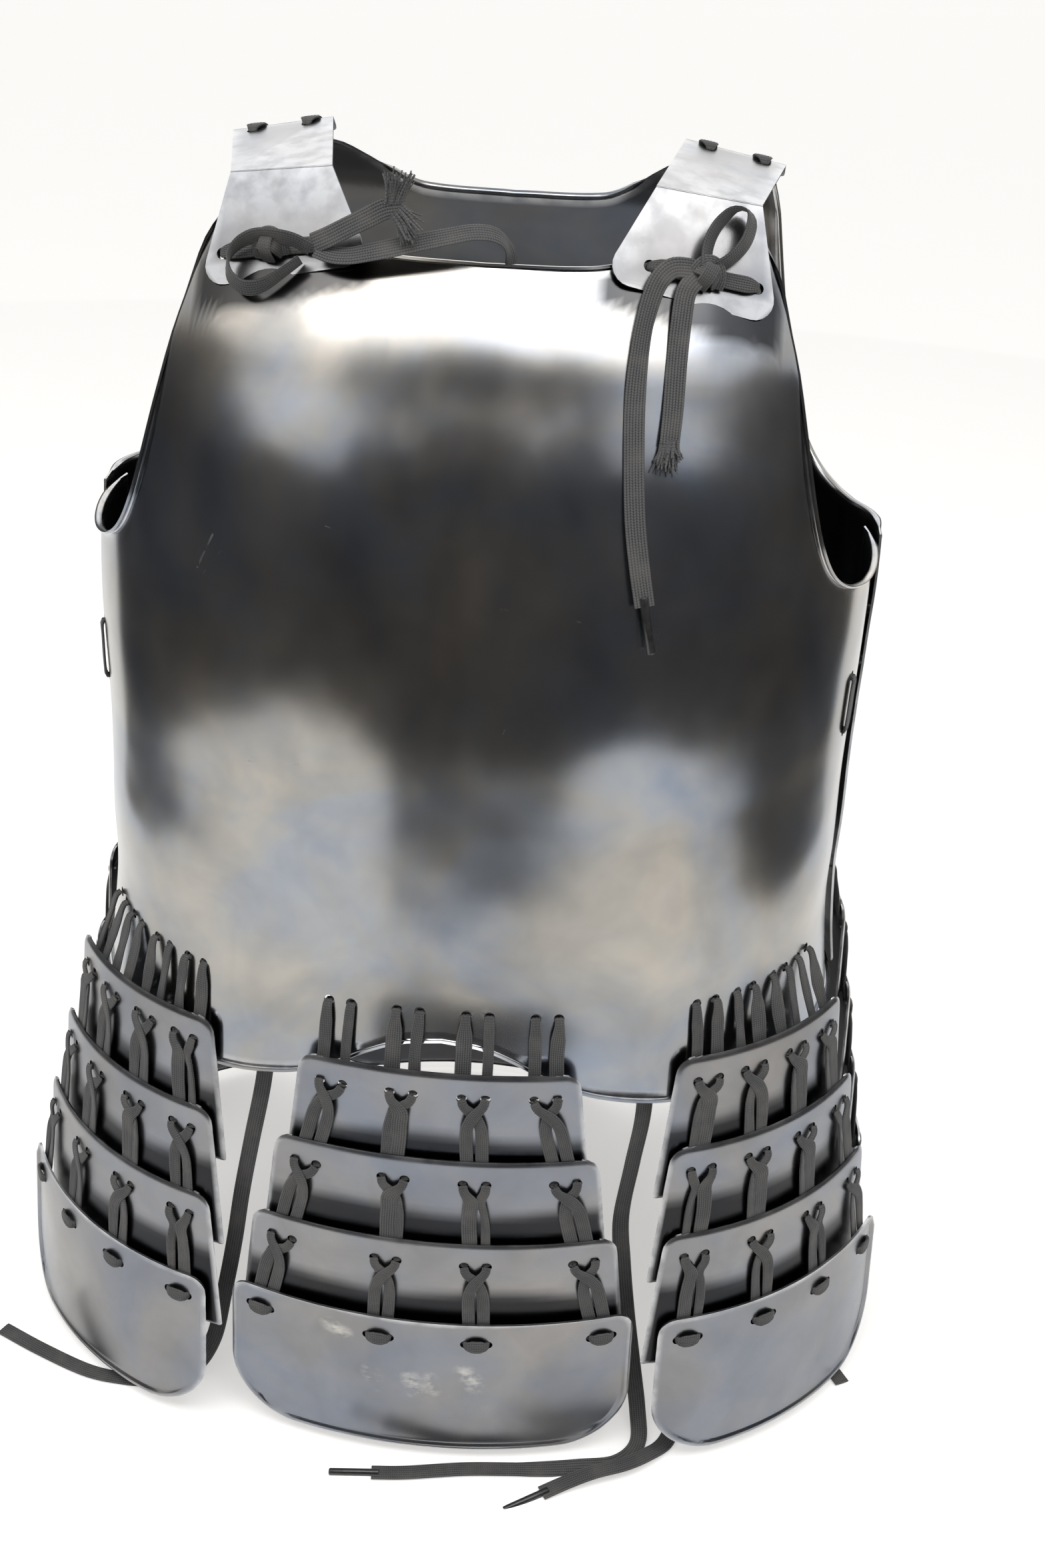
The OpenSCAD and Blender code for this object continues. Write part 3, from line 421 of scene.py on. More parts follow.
class Nodes:
    """Adds shader nodes to one material and joins them."""

    def __init__(self, name):
        self.mat = bpy.data.materials.new(name)
        self.mat.use_nodes = True
        self.tree = self.mat.node_tree
        self.shader = self.tree.nodes["Principled BSDF"]

    def add(self, kind, links=(), **values):
        """A new node with its settings and its inputs."""
        node = self.tree.nodes.new(kind)
        for key, value in values.items():
            setattr(node, key, value)
        for socket, value in dict(links).items():
            self.feed(node.inputs[socket], value)
        return node

    def feed(self, socket, value):
        """Links an input to an output, or gives it a value."""
        if isinstance(value, bpy.types.NodeSocket):
            self.tree.links.new(value, socket)
        else:
            socket.default_value = value

    def coordinates(self, kind="Object"):
        return self.add("ShaderNodeTexCoord").outputs[kind]

    def mapped(self, vector, scale=(1, 1, 1), turn=(0, 0, 0), shift=(0, 0, 0)):
        return self.add("ShaderNodeMapping", {"Vector": vector, "Scale": scale, "Rotation": turn,
                                              "Location": shift}).outputs["Vector"]

    def noise(self, vector, scale, detail=3.0, rough=0.5, twist=0.0):
        return self.add("ShaderNodeTexNoise", {"Vector": vector, "Scale": scale, "Detail": detail,
                                               "Roughness": rough, "Distortion": twist}).outputs["Fac"]

    def ramp(self, value, *stops):
        node = self.add("ShaderNodeValToRGB", {"Fac": value})
        while len(node.color_ramp.elements) < len(stops):
            node.color_ramp.elements.new(0.5)
        for element, (place, colour) in zip(node.color_ramp.elements, stops):
            element.position = place
            element.color = (*colour, 1) if len(colour) == 3 else (colour[0],) * 3 + (1,)
        return node.outputs["Color"]

    def math(self, kind, a, b=0.5, clamp=False):
        node = self.add("ShaderNodeMath", operation=kind, use_clamp=clamp)
        self.feed(node.inputs[0], a)
        self.feed(node.inputs[1], b)
        return node.outputs[0]

    def spread(self, value, low, high, start=0.0, end=1.0):
        """Takes a value from between start and end to between low and high."""
        node = self.add("ShaderNodeMapRange", {"Value": value, "From Min": start, "From Max": end,
                                               "To Min": low, "To Max": high})
        return node.outputs["Result"]

    def mix(self, factor, a, b, how="MIX"):
        node = self.add("ShaderNodeMix", data_type="RGBA", blend_type=how)
        self.feed(node.inputs["Factor"], factor)
        self.feed(node.inputs[6], a)
        self.feed(node.inputs[7], b)
        return node.outputs[2]

    def bump(self, heights, strength, distance):
        return self.add("ShaderNodeBump", {"Height": heights, "Strength": strength,
                                           "Distance": distance}).outputs["Normal"]

    def near_line(self, spot, a, b, thick, core):
        """One on the line from a to b, in metres, fading to nothing at a distance of thick."""
        way = Vector(b) - Vector(a)
        along_line = way.normalized()
        from_a = self.add("ShaderNodeVectorMath", {0: spot, 1: tuple(a)}, operation="SUBTRACT")
        from_a = from_a.outputs["Vector"]
        run = self.add("ShaderNodeVectorMath", {0: from_a, 1: tuple(along_line)}, operation="DOT_PRODUCT")
        run = self.math("MINIMUM", self.math("MAXIMUM", run.outputs["Value"], 0.0), way.length)
        foot = self.add("ShaderNodeVectorMath", {0: tuple(along_line), "Scale": run}, operation="SCALE")
        off = self.add("ShaderNodeVectorMath", {0: from_a, 1: foot.outputs["Vector"]}, operation="DISTANCE")
        return self.spread(off.outputs["Value"], 1.0, 0.0, thick * core, thick)

    def attribute(self, name):
        return self.add("ShaderNodeAttribute", attribute_name=name).outputs["Fac"]

    def set(self, **links):
        """Feeds inputs of the shader, with _ for a blank in their names."""
        for socket, value in links.items():
            self.feed(self.shader.inputs[socket.replace("_", " ")], value)


def shade(colour, k, tint=(1, 1, 1)):
    """A colour made lighter or darker and tinted, with its alpha."""
    return tuple(min(1.0, c * k * t) for c, t in zip(colour, tint)) + (1,)


def steel_material(name, colour, low, high, patches, scratches=(), smears=()):
    """Steel: faint heat colours, wiped patches, scratches, pale smears, painted shade and worn edges."""
    n = Nodes(name)
    spot = n.coordinates()
    heat = n.noise(n.mapped(spot, shift=(0.31, 0.12, 0.47)), 11.0, 3.5, 0.55, 0.7)
    tint = n.ramp(heat, (0.30, shade(colour, 0.88, (0.84, 0.95, 1.14))[:3]),
                  (0.44, shade(colour, 0.96, (0.96, 0.99, 1.04))[:3]),
                  (0.54, shade(colour, 1.0, (1.04, 1.0, 0.93))[:3]),
                  (0.66, shade(colour, 1.12, (1.10, 1.0, 0.86))[:3]),
                  (0.78, shade(colour, 0.94, (1.05, 0.97, 0.92))[:3]))
    base = n.mix(patches, (*colour, 1), tint)
    cloud = n.ramp(n.noise(n.mapped(spot, shift=(2.1, 0.4, 1.3)), 24.0, 4.0, 0.55, 0.4),
                   (0.30, (0.84,)), (0.62, (1.08,)))
    base = n.mix(0.8, base, n.mix(1.0, base, cloud, "MULTIPLY"))
    wiped = n.noise(n.mapped(spot, scale=(1, 1, 0.55)), 15.0, 3.0, 0.55)
    rough = n.spread(wiped, low, high, 0.32, 0.68)
    for a, b, thick in scratches:
        line = n.near_line(spot, a, b, thick * MM, 0.2)
        broken = n.spread(n.noise(n.mapped(spot, shift=tuple(a)), 260.0, 2.0), 0.0, 1.0, 0.34, 0.5)
        cut = n.math("MULTIPLY", line, broken)
        base = n.mix(n.math("MULTIPLY", cut, 0.7), base, (0.62, 0.62, 0.62, 1))
        rough = n.math("ADD", rough, n.math("MULTIPLY", cut, 0.5))
    for a, b, thick in smears:
        blot = n.near_line(spot, a, b, thick * MM, 0.0)
        cloudy = n.spread(n.noise(n.mapped(spot, scale=(1, 1, 1.6)), 110.0, 3.0, 0.6), 0.0, 1.0, 0.42, 0.62)
        stain = n.math("MULTIPLY", blot, cloudy)
        base = n.mix(n.math("MULTIPLY", stain, 0.8), base, (0.62, 0.60, 0.56, 1))
        rough = n.math("ADD", rough, n.math("MULTIPLY", stain, 0.15))
    # Painted shade: darkens the inner faces, a band above each next skirt plate and the breastplate just
    # under the shoulder flaps.
    painted_shade = n.attribute("painted_shade")
    base = n.mix(n.math("MULTIPLY", painted_shade, 0.93), base, shade(colour, 0.06, (0.95, 0.97, 1.05)))
    edge = n.attribute("edge")
    worn = n.math("MULTIPLY", edge, n.spread(n.noise(spot, 90.0, 3.0), 0.30, 1.0, 0.35, 0.6))
    base = n.mix(worn, base, (0.60, 0.605, 0.62, 1))
    rough = n.math("ADD", rough, n.math("MULTIPLY", worn, 0.04), clamp=True)
    n.set(Base_Color=base, Metallic=1.0, Roughness=rough)
    return n.mat


def lace_material(name):
    """Flat woven lace: ribs along it, made of small slanted stitches."""
    n = Nodes(name)
    uv = n.coordinates("UV")
    colour = tuple(finish_of().lace)
    parts = n.add("ShaderNodeSeparateXYZ", {"Vector": uv})
    across, run = parts.outputs["X"], parts.outputs["Y"]
    ribs = n.math("ABSOLUTE", n.math("SINE", n.math("MULTIPLY", across, math.pi * LACE_RIBS)))
    slant = n.math("MULTIPLY", n.math("PINGPONG", n.math("MULTIPLY", across, LACE_RIBS), 1.0), 0.07)
    stitch = n.math("SINE", n.math("MULTIPLY", n.math("ADD", run, slant), 2 * math.pi * 8.5))
    stitch = n.spread(stitch, 0.0, 1.0, -1.0, 1.0)
    threads = n.math("MULTIPLY", n.math("POWER", ribs, 0.6), n.spread(stitch, 0.55, 1.0))
    base = n.mix(n.spread(threads, 0.0, 1.0, 0.1, 0.95), shade(colour, 0.22), shade(colour, 1.25))
    worn = n.noise(n.coordinates(), 55.0, 3.0, 0.6)
    base = n.mix(n.spread(worn, 0.0, 0.5, 0.45, 0.75), base, shade(colour, 1.5, (1.06, 1.0, 0.92)))
    n.set(Base_Color=base, Roughness=0.85, Normal=n.bump(threads, 0.6, 0.0004),
          Specular_IOR_Level=0.2, Sheen_Weight=0.2, Sheen_Roughness=0.5)
    return n.mat


def aglet_material():
    """Dark hard tip of a lace."""
    n = Nodes("aglet")
    spot = n.coordinates()
    base = n.ramp(n.noise(spot, 300.0, 2.0), (0.35, (0.012,)), (0.65, (0.028,)))
    n.set(Base_Color=base, Roughness=n.spread(n.noise(spot, 200.0), 0.25, 0.4), Coat_Weight=0.4)
    return n.mat


def on_chest(x, z):
    """A point of the breastplate in metres, from its place across and its height in millimetres."""
    return (x * MM, float(front_y(x, z)) * MM, z * MM)


# Scratches of the breastplate: both ends across and up, and their thickness, in millimetres
SCRATCHES = [((-119, 205), (-112, 220), 0.9), ((-116, 203), (-108, 214), 0.6), ((-94, 120), (-70, 124), 1.1),
             ((-97, 124), (-66, 119), 0.6), ((18, 205), (52, 201), 0.7), ((24, 200), (42, 202), 0.5),
             ((-75, 78), (-62, 96), 0.8), ((-100, 58), (-92, 62), 0.6), ((22, 150), (27, 171), 0.5),
             ((70, 40), (84, 66), 0.6), ((-22, 40), (-30, 52), 0.5), ((-108, 92), (-82, 95), 1.0),
             ((-60, 232), (-48, 229), 0.5), ((96, 190), (104, 205), 0.5), ((-10, 22), (14, 20), 0.5)]
# Pale smears of the front bottom plate: both ends across and below its holes, and their reach
SMEARS = [((-30, -26), (-26, -36), 6), ((-8, -28), (-4, -38), 7), ((2, -26), (4, -36), 5),
          ((20, -20), (26, -30), 7), ((-52, 2), (-44, -2), 6)]


def on_front_plate(arc, below):
    """A point of the front bottom plate in metres, from its line of holes."""
    p = on_plate(HANGINGS["front"], LAST_ROW, arc) + np.array([0, -0.6, below])
    return tuple(p * MM)


# Materials made so far, by the kind of piece
_made = {}


def material(kind):
    """The material of a kind of piece, made once."""
    if kind not in _made:
        f = finish_of()
        if kind == "cuirass":
            lines = [(on_chest(*a), on_chest(*b), thick) for a, b, thick in SCRATCHES]
            _made[kind] = steel_material("cuirass_steel", tuple(f.cuirass), 0.16, 0.24, 0.9, lines)
        elif kind == "plates":
            blots = [(on_front_plate(*a), on_front_plate(*b), reach) for a, b, reach in SMEARS]
            _made[kind] = steel_material("plate_steel", tuple(f.plates), 0.24, 0.36, 0.6, (), blots)
        elif kind == "shoulder":
            _made[kind] = steel_material("shoulder_steel", shade(f.plates, 1.0)[:3], 0.24, 0.32, 0.5)
        elif kind == "lace":
            _made[kind] = lace_material("woven_lace")
        else:
            _made[kind] = aglet_material()
    return _made[kind]


def clear_selection():
    """Leaves edit mode with nothing selected."""
    if bpy.context.object and bpy.context.object.mode != "OBJECT":
        bpy.ops.object.mode_set(mode="OBJECT")
    bpy.ops.object.select_all(action="DESELECT")


def activate(obj):
    """Selects one piece alone."""
    clear_selection()
    obj.select_set(True)
    bpy.context.view_layer.objects.active = obj


def apply(obj, kind, **values):
    """Adds a modifier to a piece and applies it."""
    activate(obj)
    mod = obj.modifiers.new(kind.lower(), kind)
    for key, value in values.items():
        setattr(mod, key, value)
    bpy.ops.object.modifier_apply(modifier=mod.name)


def smooth(obj, angle=40):
    """Shades a piece smooth, with edges over an angle kept sharp."""
    activate(obj)
    bpy.ops.object.shade_smooth_by_angle(angle=math.radians(angle))


def grid_sheet(name, columns, rows, place):
    """A primitive grid whose points are laid on a surface: place takes arrays of column and row."""
    clear_selection()
    bpy.ops.mesh.primitive_grid_add(x_subdivisions=columns, y_subdivisions=rows, size=1)
    obj = bpy.context.object
    obj.name = name
    co = np.zeros(len(obj.data.vertices) * 3)
    obj.data.vertices.foreach_get("co", co)
    co = co.reshape(-1, 3)
    i = np.rint((co[:, 0] + 0.5) * columns).astype(int)
    j = np.rint((co[:, 1] + 0.5) * rows).astype(int)
    points = place(i, j)
    obj.data.vertices.foreach_set("co", (points * MM).ravel())
    obj.data.update()
    return obj


def wear_edges(obj, border, reach=3.0):
    """Stores how near each point lies to the border, for the worn edges of the steel."""
    tree = KDTree(len(border))
    for k, p in enumerate(border):
        tree.insert(Vector(p) * MM, k)
    tree.balance()
    store(obj, "edge", [max(0.0, 1 - tree.find(v.co)[2] / (reach * MM)) for v in obj.data.vertices])


def store(obj, name, values):
    """Stores one number for each point of a mesh."""
    layer = obj.data.attributes.new(name, "FLOAT", "POINT")
    layer.data.foreach_set("value", np.array(values, np.float32))


def wear_of(obj):
    """How near each point lies to a worn edge, as wear_edges stored it."""
    values = np.zeros(len(obj.data.vertices))
    obj.data.attributes["edge"].data.foreach_get("value", values)
    return values


def places(obj):
    """Places in millimetres and normals of a mesh's points."""
    count = len(obj.data.vertices) * 3
    spots, normals = np.zeros(count), np.zeros(count)
    obj.data.vertices.foreach_get("co", spots)
    obj.data.vertices.foreach_get("normal", normals)
    return spots.reshape(-1, 3) / MM, normals.reshape(-1, 3)


def drill(obj, bores):
    """Cuts round holes: each bore is (centre, direction, diameter, length)."""
    clear_selection()
    cutters = []
    for centre, way, wide, deep in bores:
        turn = Vector(way).to_track_quat("Z", "Y").to_euler()
        bpy.ops.mesh.primitive_cylinder_add(vertices=20, radius=wide / 2 * MM, depth=deep * MM,
                                            location=Vector(centre) * MM, rotation=turn)
        cutters.append(bpy.context.object)
    clear_selection()
    for c in cutters:
        c.select_set(True)
    bpy.context.view_layer.objects.active = cutters[0]
    bpy.ops.object.join()
    cutter = bpy.context.object
    apply(obj, "BOOLEAN", operation="DIFFERENCE", solver="EXACT", object=cutter)
    bpy.data.objects.remove(cutter)


def put(obj, kind, body, nodes=()):
    """Gives a finished piece its material in one slot, hangs it on its body where body is a name or else
    bakes its place in, and hides the nodes it replaces.
    """
    obj.data.materials.clear()
    obj.data.materials.append(material(kind))
    if isinstance(body, str):
        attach(obj, body)
    else:
        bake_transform(obj)
    if nodes:
        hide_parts(*nodes)
    return obj


def mesh_object(name, points, faces, uvs=None):
    """A new piece from points in metres and faces."""
    mesh = bpy.data.meshes.new(name)
    mesh.from_pydata([tuple(p) for p in points], [], faces)
    if uvs is not None:
        layer = mesh.uv_layers.new(name="UVMap")
        flat = np.array([uvs[v] for f in faces for v in f], np.float32)
        layer.data.foreach_set("uv", flat.ravel())
    mesh.validate()
    mesh.update()
    obj = bpy.data.objects.new(name, mesh)
    bpy.context.scene.collection.objects.link(obj)
    return obj


def smooth_route(points, step=2.0):
    """Points a step apart on a smooth curve through the given ones, in millimetres."""
    p = np.array(points, float)
    p = np.vstack([2 * p[0] - p[1], p, 2 * p[-1] - p[-2]])
    out = []
    for i in range(1, len(p) - 2):
        count = max(2, int(np.linalg.norm(p[i + 1] - p[i]) / step * 2))
        for s in np.arange(count) / count:
            out.append(0.5 * (2 * p[i] + (p[i + 1] - p[i - 1]) * s
                              + (2 * p[i - 1] - 5 * p[i] + 4 * p[i + 1] - p[i + 2]) * s * s
                              + (3 * p[i] - p[i - 1] - 3 * p[i + 1] + p[i + 2]) * s ** 3))
    out.append(p[-2])
    out = np.array(out)
    run = np.concatenate([[0], np.cumsum(np.linalg.norm(np.diff(out, axis=0), axis=1))])
    n = max(3, int(round(run[-1] / step)) + 1)
    even = np.linspace(0, run[-1], n)
    return np.stack([np.interp(even, run, out[:, k]) for k in range(3)], -1), run[-1]


# Points across one face of a lace
RIBS = 13


def profile(width, thick):
    """Cross-section of a flat lace with six ribs along each face: points (across, up)."""
    a = np.linspace(-1, 1, RIBS)
    body = np.maximum(0.0, 1 - np.abs(a) ** 4) ** 0.5
    h = thick / 2 * body * (0.80 + 0.20 * (np.arange(RIBS) % 2)) + 0.02
    top = np.stack([a * width / 2, h], -1)
    return np.vstack([top, np.stack([a[::-1] * width / 2, -h[::-1]], -1)])


class Strands:
    """Collects ribbons into one mesh."""

    def __init__(self):
        self.points, self.faces, self.uvs = [], [], []

    def ribbon(self, route, face, widths=None, thick=LACE_T, step=2.0, roll=None, width=LACE_W):
        """A lace along a route. face is the way its face looks: one direction or one per route point."""
        line, length = smooth_route(route, step)
        n = len(line)
        way = unit(np.gradient(line, axis=0))
        t = np.linspace(0, 1, n)
        faces = np.array(face, float)
        if faces.ndim == 1:
            faces = np.tile(faces, (n, 1))
        else:
            at = np.linspace(0, 1, len(faces))
            faces = np.stack([np.interp(t, at, faces[:, k]) for k in range(3)], -1)
        wide = unit(np.cross(way, unit(faces)))
        up = np.cross(wide, way)
        if roll is not None:
            a = np.radians(np.interp(t, np.linspace(0, 1, len(roll)), roll))[:, None]
            wide, up = wide * np.cos(a) + up * np.sin(a), up * np.cos(a) - wide * np.sin(a)
        w = np.full(n, width) if widths is None else np.interp(t * length, *zip(*widths(length)))
        start = len(self.points)
        ring = 2 * RIBS
        for i in range(n):
            squeeze = min(1.0, w[i] / width)
            section = profile(w[i], thick * (1 + 0.9 * (1 - squeeze)))
            for x, y in section:
                self.points.append((line[i] + wide[i] * x + up[i] * y) * MM)
            v = t[i] * length / 10
            self.uvs += [(k / (RIBS - 1), v) for k in range(RIBS)]
            self.uvs += [(1 - k / (RIBS - 1), v) for k in range(RIBS)]
        for i in range(n - 1):
            for k in range(ring):
                a, b = start + i * ring + k, start + i * ring + (k + 1) % ring
                self.faces.append((a, a + ring, b + ring, b))
        self.faces.append(tuple(start + k for k in range(ring)))
        self.faces.append(tuple(start + (n - 1) * ring + k for k in reversed(range(ring))))
        return line

    def threads(self, root, way, side, count, length, spread, seed):
        """A frayed end: thin tapered threads that fan out from a root."""
        rng = random.Random(seed)
        way, side = unit(way), unit(side)
        third = np.cross(way, side)
        for _ in range(count):
            across = rng.uniform(-1, 1)
            p = np.array(root, float) + side * across * 3.9 + third * rng.uniform(-0.8, 0.8)
            aim = unit(way + side * (across * 0.5 + rng.uniform(-0.3, 0.3)) * spread
                       + third * rng.uniform(-0.55, 0.55) * spread)
            reach = length * rng.uniform(0.55, 1.0)
            bend = np.array([rng.uniform(-1, 1) for _ in range(3)]) * reach * 0.16
            start = len(self.points)
            for k in range(5):
                s = k / 4
                q = p + way * reach * s * (1 - s * 0.5) + aim * reach * s * s * 0.6 + bend * s * s
                r = 0.62 * (1 - 0.5 * s)
                for dx, dy in ((1, 0), (0, 1), (-1, 0), (0, -1)):
                    self.points.append((q + side * dx * r + third * dy * r) * MM)
                    self.uvs.append((0.5, s))
            for k in range(4):
                for m in range(4):
                    a, b = start + k * 4 + m, start + k * 4 + (m + 1) % 4
                    self.faces.append((a, b, b + 4, a + 4))
            self.faces.append(tuple(start + m for m in (3, 2, 1, 0)))
            self.faces.append(tuple(start + 16 + m for m in range(4)))

    def build(self, name):
        """The finished piece, with its faces turned outwards."""
        obj = mesh_object(name, self.points, self.faces, self.uvs)
        activate(obj)
        bpy.ops.object.mode_set(mode="EDIT")
        bpy.ops.mesh.select_all(action="SELECT")
        bpy.ops.mesh.normals_make_consistent(inside=False)
        bpy.ops.object.mode_set(mode="OBJECT")
        smooth(obj, 50)
        return obj


def holed(length):
    """Widths of a lace that is bunched in a hole at both ends."""
    return [(0, 3.2), (2.5, 3.4), (8.5, LACE_W), (max(9, length - 8.5), LACE_W), (length - 2.5, 3.4),
            (length, 3.2)]


def flipped(p, s):
    """A point or direction of the left side, for the side s."""
    return (p[0] * s, p[1], p[2])


def mirrored(points, s):
    """Points or directions of the left side, for the side s."""
    return [flipped(p, s) for p in points]


def aglet(name, end, way, long, body):
    """A hard tip: a round tube over the end of a lace, with a stepped foot."""
    clear_selection()
    turn = Vector(way).to_track_quat("Z", "Y").to_euler()
    centre = (np.array(end, float) + unit(way) * (long / 2 - 4)) * MM
    bpy.ops.mesh.primitive_cylinder_add(vertices=20, radius=1.9 * MM, depth=long * MM,
                                        location=Vector(centre), rotation=turn)
    tip = bpy.context.object
    tip.name = name
    bpy.ops.object.transform_apply(location=True, rotation=True, scale=True)
    bpy.ops.object.mode_set(mode="EDIT")
    bpy.ops.mesh.select_all(action="DESELECT")
    bpy.ops.mesh.select_mode(type="FACE")
    bm = bmesh.from_edit_mesh(tip.data)
    axis = Vector(unit(way))
    for f in bm.faces:
        f.select = f.normal.dot(axis) > 0.9
    bmesh.update_edit_mesh(tip.data)
    bpy.ops.mesh.inset(thickness=0.5 * MM)
    bpy.ops.transform.translate(value=tuple(axis * 0.6 * MM))
    bpy.ops.object.mode_set(mode="OBJECT")
    apply(tip, "BEVEL", width=0.3 * MM, segments=2, limit_method="ANGLE", angle_limit=math.radians(40))
    smooth(tip, 45)
    return put(tip, "aglet", body)


# Camera: azimuth, elevation and roll in degrees, its place in metres, the focal length and the width of
# the picture in pixels, and the width of the sensor
CAMERA_TURN, CAMERA_PLACE = (2.632, 27.765, 3.26), (0.063, -0.843, 0.485)
FOCAL_PIXELS, PICTURE_PIXELS, SENSOR = 2600, 1568, 36


class ARMOUR_OT_camera(bpy.types.Operator):
    """Adds the camera at the angle of the photograph"""
    bl_idname = "armour.camera"
    bl_label = "Camera"

    def execute(self, context):
        az, el, roll = CAMERA_TURN
        back = Vector((sin_d(az) * cos_d(el), -cos_d(az) * cos_d(el), sin_d(el)))
        right = Vector((cos_d(az), sin_d(az), 0))
        up = right.cross(-back)
        x = right * cos_d(roll) + up * sin_d(roll)
        y = up * cos_d(roll) - right * sin_d(roll)
        clear_selection()
        bpy.ops.object.camera_add(location=CAMERA_PLACE)
        cam = context.object
        cam.matrix_world = Matrix.Translation(CAMERA_PLACE) @ Matrix(
            ((x.x, y.x, back.x), (x.y, y.y, back.y), (x.z, y.z, back.z))).to_4x4()
        cam.data.sensor_fit = "HORIZONTAL"
        cam.data.sensor_width = SENSOR
        cam.data.lens = FOCAL_PIXELS / PICTURE_PIXELS * SENSOR
        cam.data.clip_start = 0.01
        context.scene.camera = cam
        return {"FINISHED"}


# Routes of the ties' loops and ends, from the knot outwards
LEFT_END = [(92, -80, 337), (86, -82, 338.5), (79, -83.5, 338), (73.5, -87.5, 332), (70, -95, 320),
            (68.5, -102, 308), (68, -113, 288.5), (69.5, -126.5, 266.5), (72, -138, 243.5),
            (75.5, -145.5, 225), (79, -150, 209.5)]
LEFT_FRAYED = [(93, -81, 336), (89, -84.5, 333.5), (86, -87, 328.5), (85, -93.5, 317), (84.5, -102, 302),
               (84.5, -112, 284.5), (84, -120, 272)]
LEFT_LOOP = [(94, -80, 339), (94, -76.5, 347), (97, -72.5, 354.5), (103, -69, 360.5), (109, -67.5, 361.5),
             (112, -69, 357), (110, -73, 349), (104, -77.5, 342.5), (97, -79.5, 338.5)]
RIGHT_LOOP = [(-76, -86, 337), (-83, -86, 340), (-91, -85, 341), (-99, -83, 340.5), (-107, -82, 337),
              (-112, -83.5, 331), (-111, -88, 324), (-104, -92, 320), (-96, -92.5, 321.5),
              (-88, -91, 326.5), (-80, -88, 332.5)]
RIGHT_UPPER = [(-75, -86, 339), (-68, -87.5, 342.5), (-60, -89, 347), (-51, -91, 352), (-43, -92.5, 356.5),
               (-36, -93.5, 358)]
RIGHT_LOWER = [(-73, -87, 337), (-66, -89, 335.5), (-58, -91, 336), (-48, -92, 338.5), (-33, -92.5, 342.5),
               (-17, -92, 346.5), (-4, -90, 349), (5, -86, 347), (9, -81, 341), (10.5, -76.5, 332)]


def knot(name, centre, out, across, body):
    """A pulled knot: three short turns of lace laid over each other."""
    out, across = unit(out), unit(across)
    up = np.cross(out, across)
    c = np.array(centre, float)
    strands = Strands()

    def at(x, y, z):
        return tuple(c + across * x + up * y + out * z)

    loop = [(-5, -4, -2), (-4.5, 0, 1.5), (-2, 3.5, 3.4), (2, 3.5, 3.4), (4.8, 0, 1.6), (5, -4, -2)]
    cross = [(-5.5, 2.5, -2), (-3.5, 1.2, 3.0), (0, 0, 4.8), (3.5, -1.2, 3.2), (5.6, -2.6, -2)]
    wrap = [(1.5, 5.5, -2), (1.2, 3.6, 3.6), (0.2, 0, 6.0), (-1.0, -3.8, 3.8), (-1.6, -5.6, -2)]
    tilted = up * 0.8 + out
    for turn, face, thick, width in ((loop, [tilted, out, out, tilted], 1.8, 7.5), (cross, out, 1.9, 7.0),
                                     (wrap, out, 1.8, 6.2)):
        strands.ribbon([at(*p) for p in turn], face, thick=thick, step=1.2, width=width)
    return put(strands.build(name), "lace", body)


